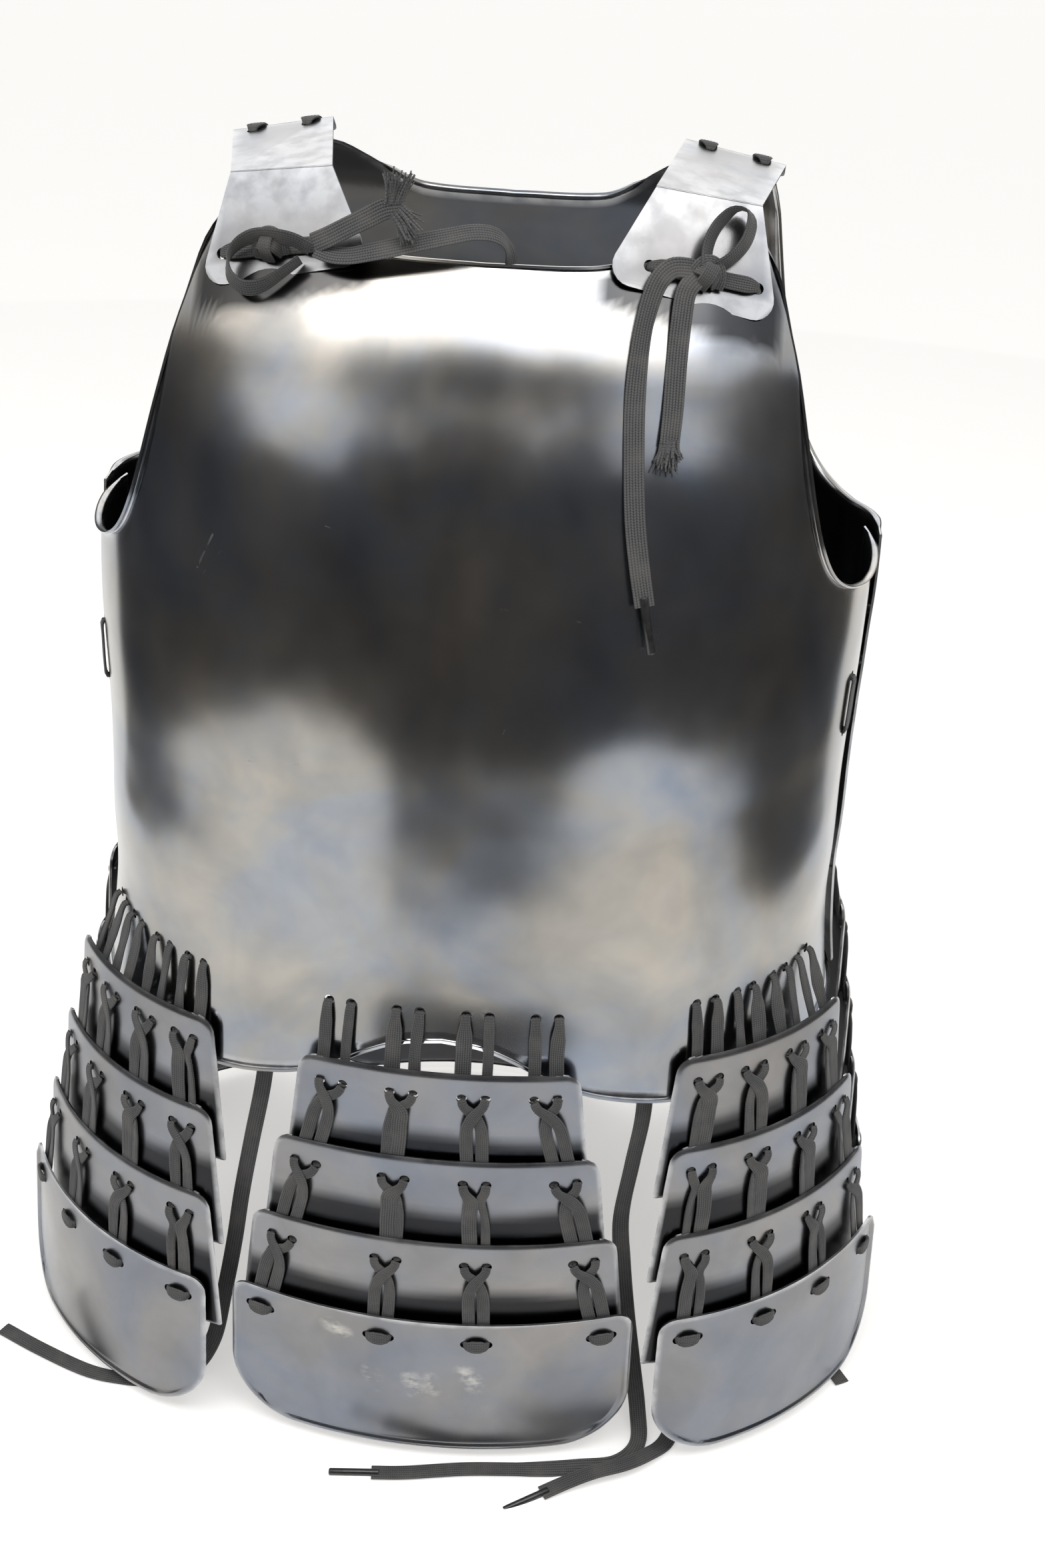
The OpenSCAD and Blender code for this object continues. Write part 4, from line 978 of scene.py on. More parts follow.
class ARMOUR_OT_shoulder_ties(bpy.types.Operator):
    """Ties both shoulder plates: knots, loops and free ends"""
    bl_idname = "armour.shoulder_ties"
    bl_label = "Shoulder ties"

    def execute(self, context):
        for side, s in (("left", 1), ("right", -1)):
            body = f"shoulder_{side}"
            a, b = TIE_HOLES
            mid = PLATE_FRONT.at((a[0] + b[0]) / 2, (a[1] + b[1]) / 2, 4.5)
            face = PLATE_FRONT.z
            bars = Strands()
            for p, q in ((a, b), (b, a)):
                lift = 1.9 if p is a else 2.6
                route = [PLATE_FRONT.at(p[0], p[1], -2.5), PLATE_FRONT.at(p[0], p[1], 0.6),
                         PLATE_FRONT.at(p[0] * 0.94 + q[0] * 0.06, p[1] * 0.94 + q[1] * 0.06, lift),
                         PLATE_FRONT.at(p[0] * 0.7 + q[0] * 0.3, p[1] * 0.7 + q[1] * 0.3, lift),
                         PLATE_FRONT.at((p[0] + q[0]) / 2, (p[1] + q[1]) / 2, lift + 1.5)]
                bars.ribbon(mirrored(route, s), flipped(face, s),
                            widths=lambda long: [(0, 3), (3, 3.6), (9, 7.5), (long, 7)])
            put(bars.build(f"tie_strap_{side}"), "lace", body, [f"shoulder_tie_{side}"])
            across = (PLATE_FRONT.x[0], PLATE_FRONT.x[1] * s, PLATE_FRONT.x[2] * s)
            knot(f"tie_knot_{side}", flipped(mid, s), flipped(face, s), across, body)
        self.left_ends()
        self.right_ends()
        return {"FINISHED"}

    def left_ends(self):
        """The hanging end with its tip, the loop and the frayed end at the left."""
        end = Strands()
        faces = [(0.1, -0.8, 0.6), (0.4, -0.9, 0.3), (-0.15, -0.95, 0.35), (0.25, -0.9, 0.3)]
        line = end.ribbon(LEFT_END, faces, roll=[0, 10, -12, 6, 0])
        hang = put(end.build("tie_end_left"), "lace", "shoulder_left")
        tip = aglet("tie_tip_left", line[-1], line[-1] - line[-4], 24, "shoulder_left")
        frayed = Strands()
        loop = frayed.ribbon(LEFT_LOOP, self.loop_faces(LEFT_LOOP, (0.55, 0.75, -0.35)))
        line = frayed.ribbon(LEFT_FRAYED, [(0.2, -0.8, 0.5), (-0.1, -0.95, 0.35), (0.3, -0.9, 0.3)])
        piece = put(frayed.build("tie_loop_left"), "lace", "shoulder_left")
        tuft = Strands()
        tuft.threads(line[-2], line[-1] - line[-4], (1, 0.1, 0.1), 64, 13, 1.1, 11)
        fringe = put(tuft.build("tie_tuft_left"), "lace", "shoulder_left")
        self.declare_two(piece, loop, line, LEFT_LOOP[0], 0.150, [fringe])

    def right_ends(self):
        """The loop with its frayed end, and the end that goes over the neck, at the right."""
        band = Strands()
        loop = band.ribbon(RIGHT_LOOP, self.loop_faces(RIGHT_LOOP, (0.3, -0.6, 0.75)))
        line = band.ribbon(RIGHT_UPPER, [(-0.2, -0.9, 0.3), (-0.1, -0.9, 0.4), (0.1, -1, 0.1)])
        piece = put(band.build("tie_loop_right"), "lace", "shoulder_right")
        tuft = Strands()
        tuft.threads(line[-2] + [-1, 0, 1.5], (0.25, -0.1, 1), (1, 0, 0.1), 34, 14, 0.75, 5)
        tuft.threads(line[-2] + [0, 0, -1.5], (0.75, -0.2, -0.75), (0.7, 0, 0.7), 34, 14, 0.85, 6)
        fringe = put(tuft.build("tie_tuft_right"), "lace", "shoulder_right")
        self.declare_two(piece, loop, line, RIGHT_LOOP[0], 0.139, [fringe])
        lower = Strands()
        faces = [(-0.1, -0.6, 0.8), (-0.1, -0.75, 0.6), (0.1, -0.6, 0.8), (0.3, -0.6, 0.8)]
        line = lower.ribbon(RIGHT_LOWER, faces)
        piece = put(lower.build("tie_end_right"), "lace", "shoulder_right")

    def loop_faces(self, route, axis):
        """The way a lace's face looks round a loop that bends about an axis."""
        p = np.array(route, float)
        way = unit(np.gradient(p, axis=0))
        a = np.array(axis, float)
        wide = unit(a - way * (way @ a)[:, None])
        return np.cross(wide, way)

    def declare_two(self, piece, loop, line, start, length, pieces):
        """Takes a loop and the end that leaves the same knot, and does nothing with them."""


# Routes of the long laces, from the waist to their ends on the floor
LEFT_TAIL_A = [(97, -146.2, 2), (99, -146.5, -20), (101, -147, -60), (98, -147, -95), (95, -148, -130),
               (98, -149, -160), (103, -150, -195), (109, -152, -230), (114, -157, -258), (115, -169, -270),
               (104, -182, -272), (84, -187, -272), (60, -191, -272), (24, -195, -272), (-8, -201, -272),
               (-26, -203, -272)]
LEFT_TAIL_B = [(116, -137.7, 2), (117, -138.5, -20), (119, -140, -60), (121, -141, -110), (125, -143, -160),
               (129, -145, -210), (133, -149, -250), (134, -156, -266), (130, -166, -271), (120, -177, -269),
               (108, -186, -267.5), (92, -193, -267.5), (78, -199, -270), (65, -206, -272)]
LEFT_TAIL_C = [(186, -52, 2), (186.5, -52, -20), (187, -52, -60), (187, -52, -110), (186.5, -52, -160),
               (187, -52, -210), (189, -53, -248), (193, -56, -265), (200, -62, -272), (208, -73, -272),
               (216, -84, -272), (225, -97, -272), (232, -110, -272)]
RIGHT_TAIL = [(-84, -150.5, 2), (-87, -149.7, -20), (-91, -147, -60), (-98, -148, -100), (-104, -148, -135),
              (-109, -148, -170), (-115, -149, -205), (-122, -150, -240), (-134, -152, -262),
              (-152, -154, -270.5), (-172, -155, -272), (-194, -152, -272), (-224, -140, -272),
              (-251, -127, -272)]
# Way that the face of a lace looks where it lies on the floor
FLAT = (0, 0, 1)
# Long laces: route, ways that the face looks along it, length in metres, hard tip, and replaced nodes
TAILS = {
    "tail_a": (LEFT_TAIL_A, [(0.4, -0.9, 0)] * 4 + [(0.2, -1, 0)] * 3 + [(0, -1, 0.3), (0, -0.6, 1)]
               + [FLAT] * 3, 0.430, True, ["tails_left"]),
    "tail_b": (LEFT_TAIL_B, [(0.5, -0.9, 0)] * 4 + [(0.3, -1, 0)] * 3 + [(0.2, -0.6, 0.8)] + [FLAT] * 3,
               0.361, True, []),
    "tail_c": (LEFT_TAIL_C, [(1, -0.2, 0)] * 5 + [(0.9, -0.3, 0.5), (0.2, -0.1, 1), FLAT],
               0.338, False, []),
    "tail_d": (RIGHT_TAIL, [(-0.3, -0.95, 0)] * 4 + [(-0.2, -1, 0)] * 3 + [(0, -0.6, 0.8)] + [FLAT] * 3,
               0.396, False, ["tails_right"]),
}


class ARMOUR_OT_tails(bpy.types.Operator):
    """Hangs the long lace tails inside the skirt and lays their ends on the floor"""
    bl_idname = "armour.tails"
    bl_label = "Lace tails"

    def execute(self, context):
        for name, (route, faces, length, tipped, nodes) in TAILS.items():
            strand = Strands()
            line = strand.ribbon(route, faces, step=2.5)
            obj = put(strand.build(name), "lace", "cuirass", nodes)
            pieces = []
            if tipped:
                pieces = [aglet(name + "_tip", line[-1], line[-1] - line[-4], 26, "cuirass")]
        return {"FINISHED"}


def top_lip(x):
    """Share of the lip that stands out, which fades under a shoulder plate."""
    return 1 - 0.9 * ease((x - NECK - 10) / 8) * ease((TAB + 2 - x) / 6)


def hammered(points):
    """Shallow waves that the hammer leaves in the sheet, in millimetres."""
    depth = sizes().dents / MM
    spots = points * (0.021, 0.021, 0.017)
    return depth * np.array([noise.noise(Vector(q)) + 0.35 * noise.noise(Vector(q * 2.3)) for q in spots])


def cuirass_half(name, ahead):
    """Half of the cuirass: a bent sheet with lips turned outwards along its top and its bottom."""
    columns, rows = sizes().columns, sizes().rows
    turn = FRONT_TURN if ahead else BACK_TURN
    power = FRONT_POWER if ahead else BACK_POWER
    at = front_point if ahead else back_point
    tops, lows = (TOP_FRONT, LOW_FRONT) if ahead else (TOP_BACK, LOW_BACK)
    lips = 6

    def reach(t):
        return CHEST * np.sin(np.radians(np.minimum(90, np.abs(t)))) ** (2 / power)

    def top(t):
        return curve(reach(t), tops)

    def low(t):
        return curve(reach(t), lows)

    def out(t, z):
        return unit(np.cross(at(t + 0.4, z) - at(t - 0.4, z), at(t, z + 1) - at(t, z - 1)))

    def place(i, j):
        t = turn * (2.0 * i / columns - 1)
        f = np.clip((j - lips) / (rows - 2 * lips), 0, 1)
        z = low(t) + (top(t) - low(t)) * f
        p = at(t, z)
        p += out(t, z) * hammered(p)[:, None]
        if ahead:
            groove = (GROOVE_DEPTH * np.exp(-(p[:, 0] / GROOVE_HALF) ** 2) * ease((z - 95) / 60)
                      * ease((NECK_H - 30 - z) / 60))
            p[:, 1] += groove
            for middle, reach_z, stand in SWELLS:
                swell = stand * np.exp(-((z - middle) / reach_z) ** 2 / 2) * ease((80 - np.abs(t)) / 25)
                p += out(t, z) * swell[:, None]
        for way, edge, q in ((-1, low, (lips - j) / lips), (1, top, (j - (rows - lips)) / lips)):
            on = q > 0
            if not on.any():
                continue
            te, qe = t[on], q[on]
            e = edge(te)
            n = out(te, e)
            along_edge = at(te + 0.6, edge(te + 0.6)) - at(te - 0.6, edge(te - 0.6))
            rise = unit(np.cross(n, along_edge)) * way
            size = 1.7 * (top_lip(np.abs(at(te, e)[:, 0])) if way > 0 else 1.0)
            size = size * ease((turn - np.abs(te)) / 9)
            a = np.radians(150) * qe
            p[on] = at(te, e) + n * (size * (1 - np.cos(a)))[:, None] + rise * (1.5 * np.sin(a))[:, None]
        return p

    obj = grid_sheet(name, columns, rows, place)
    t = np.linspace(-turn, turn, 900)
    border = [tuple(p) for p in at(t, top(t))] + [tuple(p) for p in at(t, low(t))]
    for s in (-1, 1):
        end = np.array([turn * s])
        heights = np.linspace(float(low(end)[0]), float(top(end)[0]), 200)
        border += [tuple(p) for p in at(np.full(200, turn * s), heights)]
    apply(obj, "SOLIDIFY", thickness=STEEL * MM, offset=0)
    return obj, border


def fix_normals(obj):
    """Welds double points and turns all faces outwards."""
    activate(obj)
    bpy.ops.object.mode_set(mode="EDIT")
    bpy.ops.mesh.select_all(action="SELECT")
    bpy.ops.mesh.remove_doubles(threshold=0.00001)
    bpy.ops.mesh.normals_make_consistent(inside=False)
    bpy.ops.object.mode_set(mode="OBJECT")


def row_bores(names, n):
    """Bores of the lace pairs of row n in some hangings."""
    return [(hole_at(h, n, c + s * PAIR / 2), plate_out(h, n, c + s * PAIR / 2), HOLE, DRILL)
            for h in (HANGINGS[name] for name in names) for c in pairs(h, n) for s in (-1, 1)]


def flap_shadow(spots):
    """Painted shadow of a shoulder plate's front flap on the sheet: one where the flap lies close over it,
    fading out below it.
    """
    x, z = np.abs(spots[:, 0]), spots[:, 2]
    flap_edge = np.interp(x, (FRONT_IN[0], FRONT_OUT[0]), (FRONT_IN[2], FRONT_OUT[2]))
    beside = ease((x - FRONT_IN[0] + 2) / 4) * ease((FRONT_OUT[0] + 4 - x) / 4)
    return beside * ease((z - flap_edge + 13) / 6)


class ARMOUR_OT_cuirass(bpy.types.Operator):
    """Bends the breastplate and the backplate, with their turned edges and lace holes"""
    bl_idname = "armour.cuirass"
    bl_label = "Breastplate and backplate"

    def execute(self, context):
        for name, ahead in (("breastplate", True), ("backplate", False)):
            obj, border = cuirass_half(name + "_skin", ahead)
            fix_normals(obj)
            names = ["front", "front_left", "front_right"] if ahead else ["back", "back_left", "back_right"]
            bores = row_bores(names, 0)
            for s in (-1, 1):
                for z in SIDE_TIE_Z:
                    f = side_axes(z, ahead)
                    bores.append((flipped(f.o, s), flipped(f.z, s), HOLE, LONG_DRILL))
                if ahead:
                    for x, y in TIE_HOLES:
                        p, w = PLATE_FRONT.at(x, y, -7), PLATE_FRONT.z
                        bores.append((flipped(p, s), flipped(w, s), HOLE, DRILL))
                else:
                    for k in CREST_SHARES:
                        c = CREST_IN + (CREST_OUT - CREST_IN) * k
                        w = PLATE_REAR.z
                        p = c + PLATE_REAR.y * CREST_REACH - w * 7
                        bores.append((flipped(p, s), flipped(w, s), HOLE, LONG_DRILL))
            drill(obj, bores)
            wear_edges(obj, border, 3.4)
            spots, normals = places(obj)
            inward = (spots[:, :2] * normals[:, :2]).sum(1) < 0
            # Painted shade on the inner faces, and a painted shadow on the breastplate under each shoulder
            # flap.
            dark = 0.6 * inward
            if ahead:
                dark = np.maximum(dark, 0.95 * ~inward * flap_shadow(spots))
            store(obj, "painted_shade", dark * (1 - wear_of(obj)))
            smooth(obj, 40)
            put(obj, "cuirass", "cuirass", [name])
        return {"FINISHED"}


class ARMOUR_OT_shoulder_plates(bpy.types.Operator):
    """Finishes the two folded shoulder plates with softened edges"""
    bl_idname = "armour.shoulder_plates"
    bl_label = "Shoulder plates"

    def execute(self, context):
        for side in ("left", "right"):
            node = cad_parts[f"shoulder_plate_{side}"]
            mesh = node.data.copy()
            obj = bpy.data.objects.new(f"shoulder_{side}_skin", mesh)
            context.scene.collection.objects.link(obj)
            fix_normals(obj)
            apply(obj, "DECIMATE", decimate_type="DISSOLVE", angle_limit=math.radians(2))
            smooth(obj, 45)
            apply(obj, "BEVEL", width=0.35 * MM, segments=2, limit_method="ANGLE",
                  angle_limit=math.radians(55), harden_normals=True)
            s = 1 if side == "left" else -1
            corners = [FRONT_IN, FRONT_OUT, CREASE_OUT, CREST_OUT, REAR_OUT, REAR_IN, CREST_IN, CREASE_IN,
                       FRONT_IN]
            border = [tuple(mirrored([a + (b - a) * k / 120], s)[0])
                      for a, b in zip(corners, corners[1:]) for k in range(120)]
            wear_edges(obj, border, 2.2)
            apply(obj, "WEIGHTED_NORMAL", keep_sharp=True, weight=100)
            put(obj, "shoulder", f"shoulder_{side}", [f"shoulder_plate_{side}"])
        return {"FINISHED"}


def rounded(points, radii):
    """An outline with round corners."""
    out = []
    n = len(points)
    p = [np.array(q, float) for q in points]
    for i in range(n):
        a, b, c, r = p[i - 1], p[i], p[(i + 1) % n], radii[i]
        if r <= 0:
            out.append(b)
            continue
        u, v = unit(a - b), unit(c - b)
        half = math.acos(float(np.dot(u, v))) / 2
        turn = math.pi - 2 * half
        o = b + unit(u + v) * r / math.sin(half)
        s, e = unit(b + u * r / math.tan(half) - o), unit(b + v * r / math.tan(half) - o)
        for k in range(13):
            f = k / 12
            out.append(o + r * (math.sin((1 - f) * turn) * s + math.sin(f * turn) * e) / math.sin(turn))
    return np.array(out)


def outline_tree(outline, step=0.4):
    """Points a step apart on a closed outline, to find how near a point lies to it."""
    closed = np.vstack([outline, outline[:1]])
    dense = []
    for a, b in zip(closed, closed[1:]):
        count = max(2, int(np.linalg.norm(b - a) / step))
        dense.append(a + (b - a) * np.linspace(0, 1, count, endpoint=False)[:, None])
    dense = np.vstack(dense)
    tree = KDTree(len(dense))
    for k, (x, z) in enumerate(dense):
        tree.insert((x, z, 0), k)
    tree.balance()
    return tree


def skirt_plate(hanging, n):
    """One curved plate: straight leaning sides, round corners and a turned or beaded edge."""
    h = HANGINGS[hanging]
    r = radius(h, n)
    last = n == LAST_ROW
    tall = LAST_H if last else PLATE_H
    outer = pairs(h, n)[-1] + SIDE_MARGIN
    top_half = r * math.sin(outer / r)
    low_half = r * math.sin((outer + (3 if last else tall * math.tan(math.radians(LEAN)))) / r)
    low_r = LAST_CORNER if last else 1.5
    outline = rounded([(-low_half, TOP_MARGIN - tall), (low_half, TOP_MARGIN - tall),
                       (top_half, TOP_MARGIN), (-top_half, TOP_MARGIN)], [low_r, low_r, CORNER, CORNER])
    right = outline[outline[:, 0] > 0]
    right = right[np.argsort(right[:, 1])]
    steps = [0, 0.35, 0.9, 1.6, 2.4, 3.2, 4.2]
    low_z, top_z = TOP_MARGIN - tall, TOP_MARGIN
    between = list(np.linspace(low_z + 6, top_z - 6, 20))
    if last:
        between = list(low_z + 6 + 34 * np.linspace(0, 1, 12) ** 1.2)
        between += list(np.linspace(low_z + 43, top_z - 6, 12))
    heights = np.array([low_z + s for s in steps] + between + [top_z - s for s in reversed(steps)])
    half_at = np.interp(heights, right[:, 1], right[:, 0])
    inner = list(np.linspace(-1, 1, 29))
    columns, rows = len(inner) - 1 + 2 * len(steps), len(heights) - 1
    tree = outline_tree(outline)

    def place(i, j):
        w = half_at[j]
        edge = np.array(steps + [0] * len(inner) + steps[::-1])[i]
        core = np.clip(i - len(steps), 0, len(inner) - 1)
        x = np.array(inner)[core] * (w - 5.0)
        x = np.where(i < len(steps), -(w - edge), x)
        x = np.where(i >= len(steps) + len(inner), w - edge, x)
        z = heights[j]
        y = r - np.sqrt(r * r - x * x)
        d = np.array([tree.find((a, b, 0))[2] for a, b in zip(x, z)])
        if last:
            lift = 1.5 * np.cos(np.radians(np.clip((d - 1.5) / 1.9, -1, 1) * 90))
            lift *= ease((TOP_MARGIN - 3 - z) / 8)
        else:
            lift = -1.2 * np.clip(1 - d / 3.2, 0, 1) ** 2
        norm_x, norm_y = x / r, -np.sqrt(1 - (x / r) ** 2)
        lx, ly = x + norm_x * lift, y + norm_y * lift
        q = np.stack([lx, ly, z], -1)
        a = math.radians(-h.lean)
        q = np.stack([q[:, 0], q[:, 1] * math.cos(a) - q[:, 2] * math.sin(a),
                      q[:, 1] * math.sin(a) + q[:, 2] * math.cos(a)], -1)
        return (plate_origin(h, n) + np.outer(q[:, 0], along(h.azimuth))
                - np.outer(q[:, 1], outward(h.azimuth)) + np.outer(q[:, 2], [0, 0, 1]))

    obj = grid_sheet(f"{hanging}_plate_{n}_skin", columns, rows, place)
    bm = bmesh.new()
    bm.from_mesh(obj.data)
    border = [tuple(v.co / MM) for v in bm.verts if v.is_boundary]
    bm.free()
    apply(obj, "SOLIDIFY", thickness=STEEL * MM, offset=0)
    fix_normals(obj)
    drill(obj, row_bores([hanging], n))
    wear_edges(obj, border, 3.0)
    spots, normals = places(obj)
    rise = outward(h.azimuth) * sin_d(h.lean) + np.array([0, 0, cos_d(h.lean)])
    up = (spots - plate_origin(h, n)) @ rise
    side = (spots - plate_origin(h, n)) @ along(h.azimuth)
    # Painted shade: a dark band on each plate above the top of the next plate below, and painted shade on
    # the inner faces.
    shade_band = 0 * up
    if not last:
        shade_top = TOP_MARGIN - PITCH + SHADE_RISE[n - 1] + 2.0 * np.sin(side / 19 + 2 * n)
        shade_band = ease((shade_top - up) / SHADE_SOFT)
    inward = (normals @ outward(h.azimuth)) < 0
    store(obj, "painted_shade", np.where(inward, 0.75, shade_band) * (1 - wear_of(obj)))
    smooth(obj, 40)
    return put(obj, "plates", f"hanging_{hanging}_{n}", [f"plate_{hanging}_{n}"])


class ARMOUR_OT_skirt_plates(bpy.types.Operator):
    """Curves the four rows of plates of each hanging of the skirt"""
    bl_idname = "armour.skirt_plates"
    bl_label = "Skirt plates"

    def execute(self, context):
        for hanging in HANGINGS:
            for n in range(1, LAST_ROW + 1):
                skirt_plate(hanging, n)
        return {"FINISHED"}


def narrowed(width, upper):
    """Widths of a lace that is bunched in its upper holes and at its foot. upper is how it widens."""
    return lambda long: [(0, 4.2), *upper, (15.0, width), (long - 9, width), (long - 3.0, 4.8), (long, 4.6)]


def lace_run(strands, f, s, foot, long, lift, look):
    """One lace down a row. look is (lean at the crossing, place below it, height, width, roll)."""
    cross, below, level, width, roll = look
    half = PAIR / 2
    route = [(s * half, 0, -lift - 2.4), (s * half, 0, -lift), (s * half, 0.2, -0.5),
             (s * half * 0.82 + cross * 0.18, -3.2, 0.6), (cross, -9.4, level),
             (below * 0.85, -16.5, level * 0.6), (below, -25, level * 0.3), (below, -long + 8, 0),
             (foot * half, -long + 0.8, 0.5), (foot * half, -long, lift - 0.3)]
    strands.ribbon([tuple(f.at(*q)) for q in route], f.z, thick=1.25, roll=[0, 0, roll, roll * 0.6, 0, 0],
                   widths=narrowed(width, ((4.0, 4.4), (9.0, 5.2))))


def straight_run(strands, f, s, long, lift, rng):
    """One lace of the first row, straight down from its hole in the cuirass."""
    half = PAIR / 2
    width = rng.choice((5.2, 6.2, 7.2, 8.0))
    lean = rng.uniform(-0.9, 0.9)
    route = [(s * half, 0, -lift - 2.8), (s * half, 0, -lift), (s * half, 0.2, -0.5), (s * half, -3.0, 0.35),
             (s * half + lean * 0.5, -10, 0.15), (s * half + lean, -20, 0),
             (s * half + lean * 0.5, -long + 6, 0), (s * half, -long + 0.6, 0.5),
             (s * half, -long, lift - 0.3)]
    roll = [0, 0, rng.uniform(-22, 22), 0, 0]
    strands.ribbon([tuple(f.at(*q)) for q in route], f.z, thick=1.3, roll=roll,
                   widths=narrowed(width, ((4.0, 4.3), (8.0, 5.0))))


def lace_pair(strands, h, n, k, rng):
    """Two laces from the holes of row n - 1 down to the holes of row n, from its back."""
    up, down = pairs(h, n - 1)[k], pairs(h, n)[k]
    up = down if n == 1 else up
    lift = STEEL / 2 + 0.35 + 0.9 + (0.5 if n == 1 else 0.1)
    out_a, out_b = plate_out(h, n - 1, up), plate_out(h, n, down)
    a = hole_at(h, n - 1, up) + out_a * lift
    b = hole_at(h, n, down) - out_b * (lift + 0.1)
    out = unit(out_a + out_b)
    f = Axes(a, np.cross(a - b, out), np.cross(np.cross(a - b, out), a - b))
    long = float(np.linalg.norm(b - a))
    if n == 1:
        for s in (-1, 1):
            straight_run(strands, f, s, long, lift, rng)
        return
    over = rng.choice((-1, 1))
    style = rng.random()
    wide = rng.uniform(6.3, 7.2)
    if style < 0.6:
        looks = {over: (-0.5 * over, -3.9 * over, 1.25, wide, 12 * over),
                 -over: (0.5 * over, 3.9 * over, 0.0, wide, -14 * over)}
    elif style < 0.8:
        looks = {over: (-0.4 * over, -0.6 * over, 1.3, 8.4, 6 * over),
                 -over: (1.6 * over, 4.6 * over, 0.0, 6.0, -20 * over)}
    else:
        looks = {over: (1.9 * over, 3.0 * over, 0.9, 7.8, -8 * over),
                 -over: (-3.0 * over, -5.2 * over, 0.1, 4.8, 28 * over)}
    for s in (-1, 1):
        foot = s if looks[s][1] * s > 0 else -s
        lace_run(strands, f, s, foot, long, lift, looks[s])


def face_stitch(strands, h, c):
    """The short stitch across the face of a bottom plate."""
    r = radius(h, LAST_ROW)
    f = Axes(on_plate(h, LAST_ROW, c), along(h.azimuth + math.degrees(c / r)), plate_out(h, LAST_ROW, c))
    route = [(-PAIR / 2, 0, -2.8), (-PAIR / 2, 0, 0.2), (-PAIR / 2 + 0.9, 0, 1.8), (0, 0, 2.5),
             (PAIR / 2 - 0.9, 0, 1.8), (PAIR / 2, 0, 0.2), (PAIR / 2, 0, -2.8)]
    strands.ribbon([tuple(f.at(*q)) for q in route], f.z, step=1.2, thick=1.5,
                   widths=lambda long: [(0, 3.2), (long * 0.2, 4.6), (long * 0.38, 8.4), (long * 0.62, 8.4),
                                        (long * 0.8, 4.6), (long, 3.2)])


class ARMOUR_OT_skirt_laces(bpy.types.Operator):
    """Laces every row of the skirt to the row above it"""
    bl_idname = "armour.skirt_laces"
    bl_label = "Skirt laces"

    def execute(self, context):
        for m, (hanging, h) in enumerate(HANGINGS.items()):
            for n in range(1, LAST_ROW + 1):
                rng = random.Random(100 * m + n)
                strands = Strands()
                for k in range(PAIR_COUNT):
                    lace_pair(strands, h, n, k, rng)
                    if n == LAST_ROW:
                        face_stitch(strands, h, pairs(h, n)[k])
                obj = strands.build(f"{hanging}_row_{n}_laces")
                above = "cuirass" if n == 1 else f"hanging_{hanging}_{n - 1}"
                c = pairs(h, n)
                top = (hole_at(h, n - 1, c[0]) + hole_at(h, n - 1, c[-1])) / 2 * MM
                low = (hole_at(h, n, c[0]) + hole_at(h, n, c[-1])) / 2 * MM
                put(obj, "lace", (above, f"hanging_{hanging}_{n}", tuple(top), tuple(low)),
                    [f"laces_{hanging}_{n}"])
        return {"FINISHED"}


class ARMOUR_OT_body_laces(bpy.types.Operator):
    """Laces the sides of the cuirass and the rear ends of the shoulder plates"""
    bl_idname = "armour.body_laces"
    bl_label = "Side and crest laces"

    def execute(self, context):
        for side, s in (("left", 1), ("right", -1)):
            strands = Strands()
            ends = []
            for ahead in (True, False):
                low, top = side_axes(SIDE_TIE_Z[0], ahead), side_axes(SIDE_TIE_Z[1], ahead)
                mid = side_axes(sum(SIDE_TIE_Z) / 2, ahead)
                route = [low.at(0, 0, -2.6), low.at(0, 0, 0.2), low.at(1.2, 0, 1.9), mid.at(-6, 0, 2.1),
                         mid.at(6, 0, 2.1), top.at(-1.2, 0, 1.9), top.at(0, 0, 0.2), top.at(0, 0, -2.6)]
                strands.ribbon(mirrored(route, s), flipped(mid.z, s), widths=holed)
                ends.append((low, top))
            for k in (0, 1):
                a, b = ends[0][k], ends[1][k]
                behind_seam = (a.o * 0.5 + b.o * 0.5) + np.array([-4.2, 0, 0])
                route = [a.at(0, 0, 0), a.at(0, 0, -1.6), a.at(0, 3, -2.4), behind_seam,
                         b.at(0, -3, -2.4), b.at(0, 0, -1.6), b.at(0, 0, 0)]
                strands.ribbon(mirrored(route, s), (a.z[0] * s, a.z[1], 0), widths=holed)
            put(strands.build(f"side_stitch_{side}"), "lace", "cuirass", [f"side_tie_{side}"])
            crest = Strands()
            for k in CREST_SHARES:
                c = CREST_IN + (CREST_OUT - CREST_IN) * k
                t, b = Axes(c, PLATE_TOP.x, PLATE_TOP.z), Axes(c, PLATE_REAR.x, PLATE_REAR.z)
                route = [t.at(0, -6, -2.5), t.at(0, -6, 0.4), t.at(0, -4.6, 1.9), t.at(0, -1.5, 2.1),
                         b.at(0, 2, 2.1), b.at(0, 12, 2.0), b.at(0, 20.5, 1.6), b.at(0, CREST_REACH, -1.5),
                         b.at(0, CREST_REACH, -8.5)]
                faces = [t.z, t.z, t.z, b.z, b.z, b.z + b.y * 0.4, b.z + b.y * 0.8]
                crest.ribbon(mirrored(route, s), mirrored(faces, s), step=1.4, widths=holed)
            c = CREST_IN + (CREST_OUT - CREST_IN) * sum(CREST_SHARES) / 2
            rear = Axes(c, PLATE_REAR.x, PLATE_REAR.z)
            bend = np.array(mirrored([rear.at(0, CREST_REACH, -8.5), rear.at(0, 19, -2)], s))
            bend = [tuple(q * MM) for q in bend]
            put(crest.build(f"crest_stitch_{side}"), "lace",
                ("cuirass", f"shoulder_{side}", bend[0], bend[1]), [f"crest_laces_{side}"])
        return {"FINISHED"}


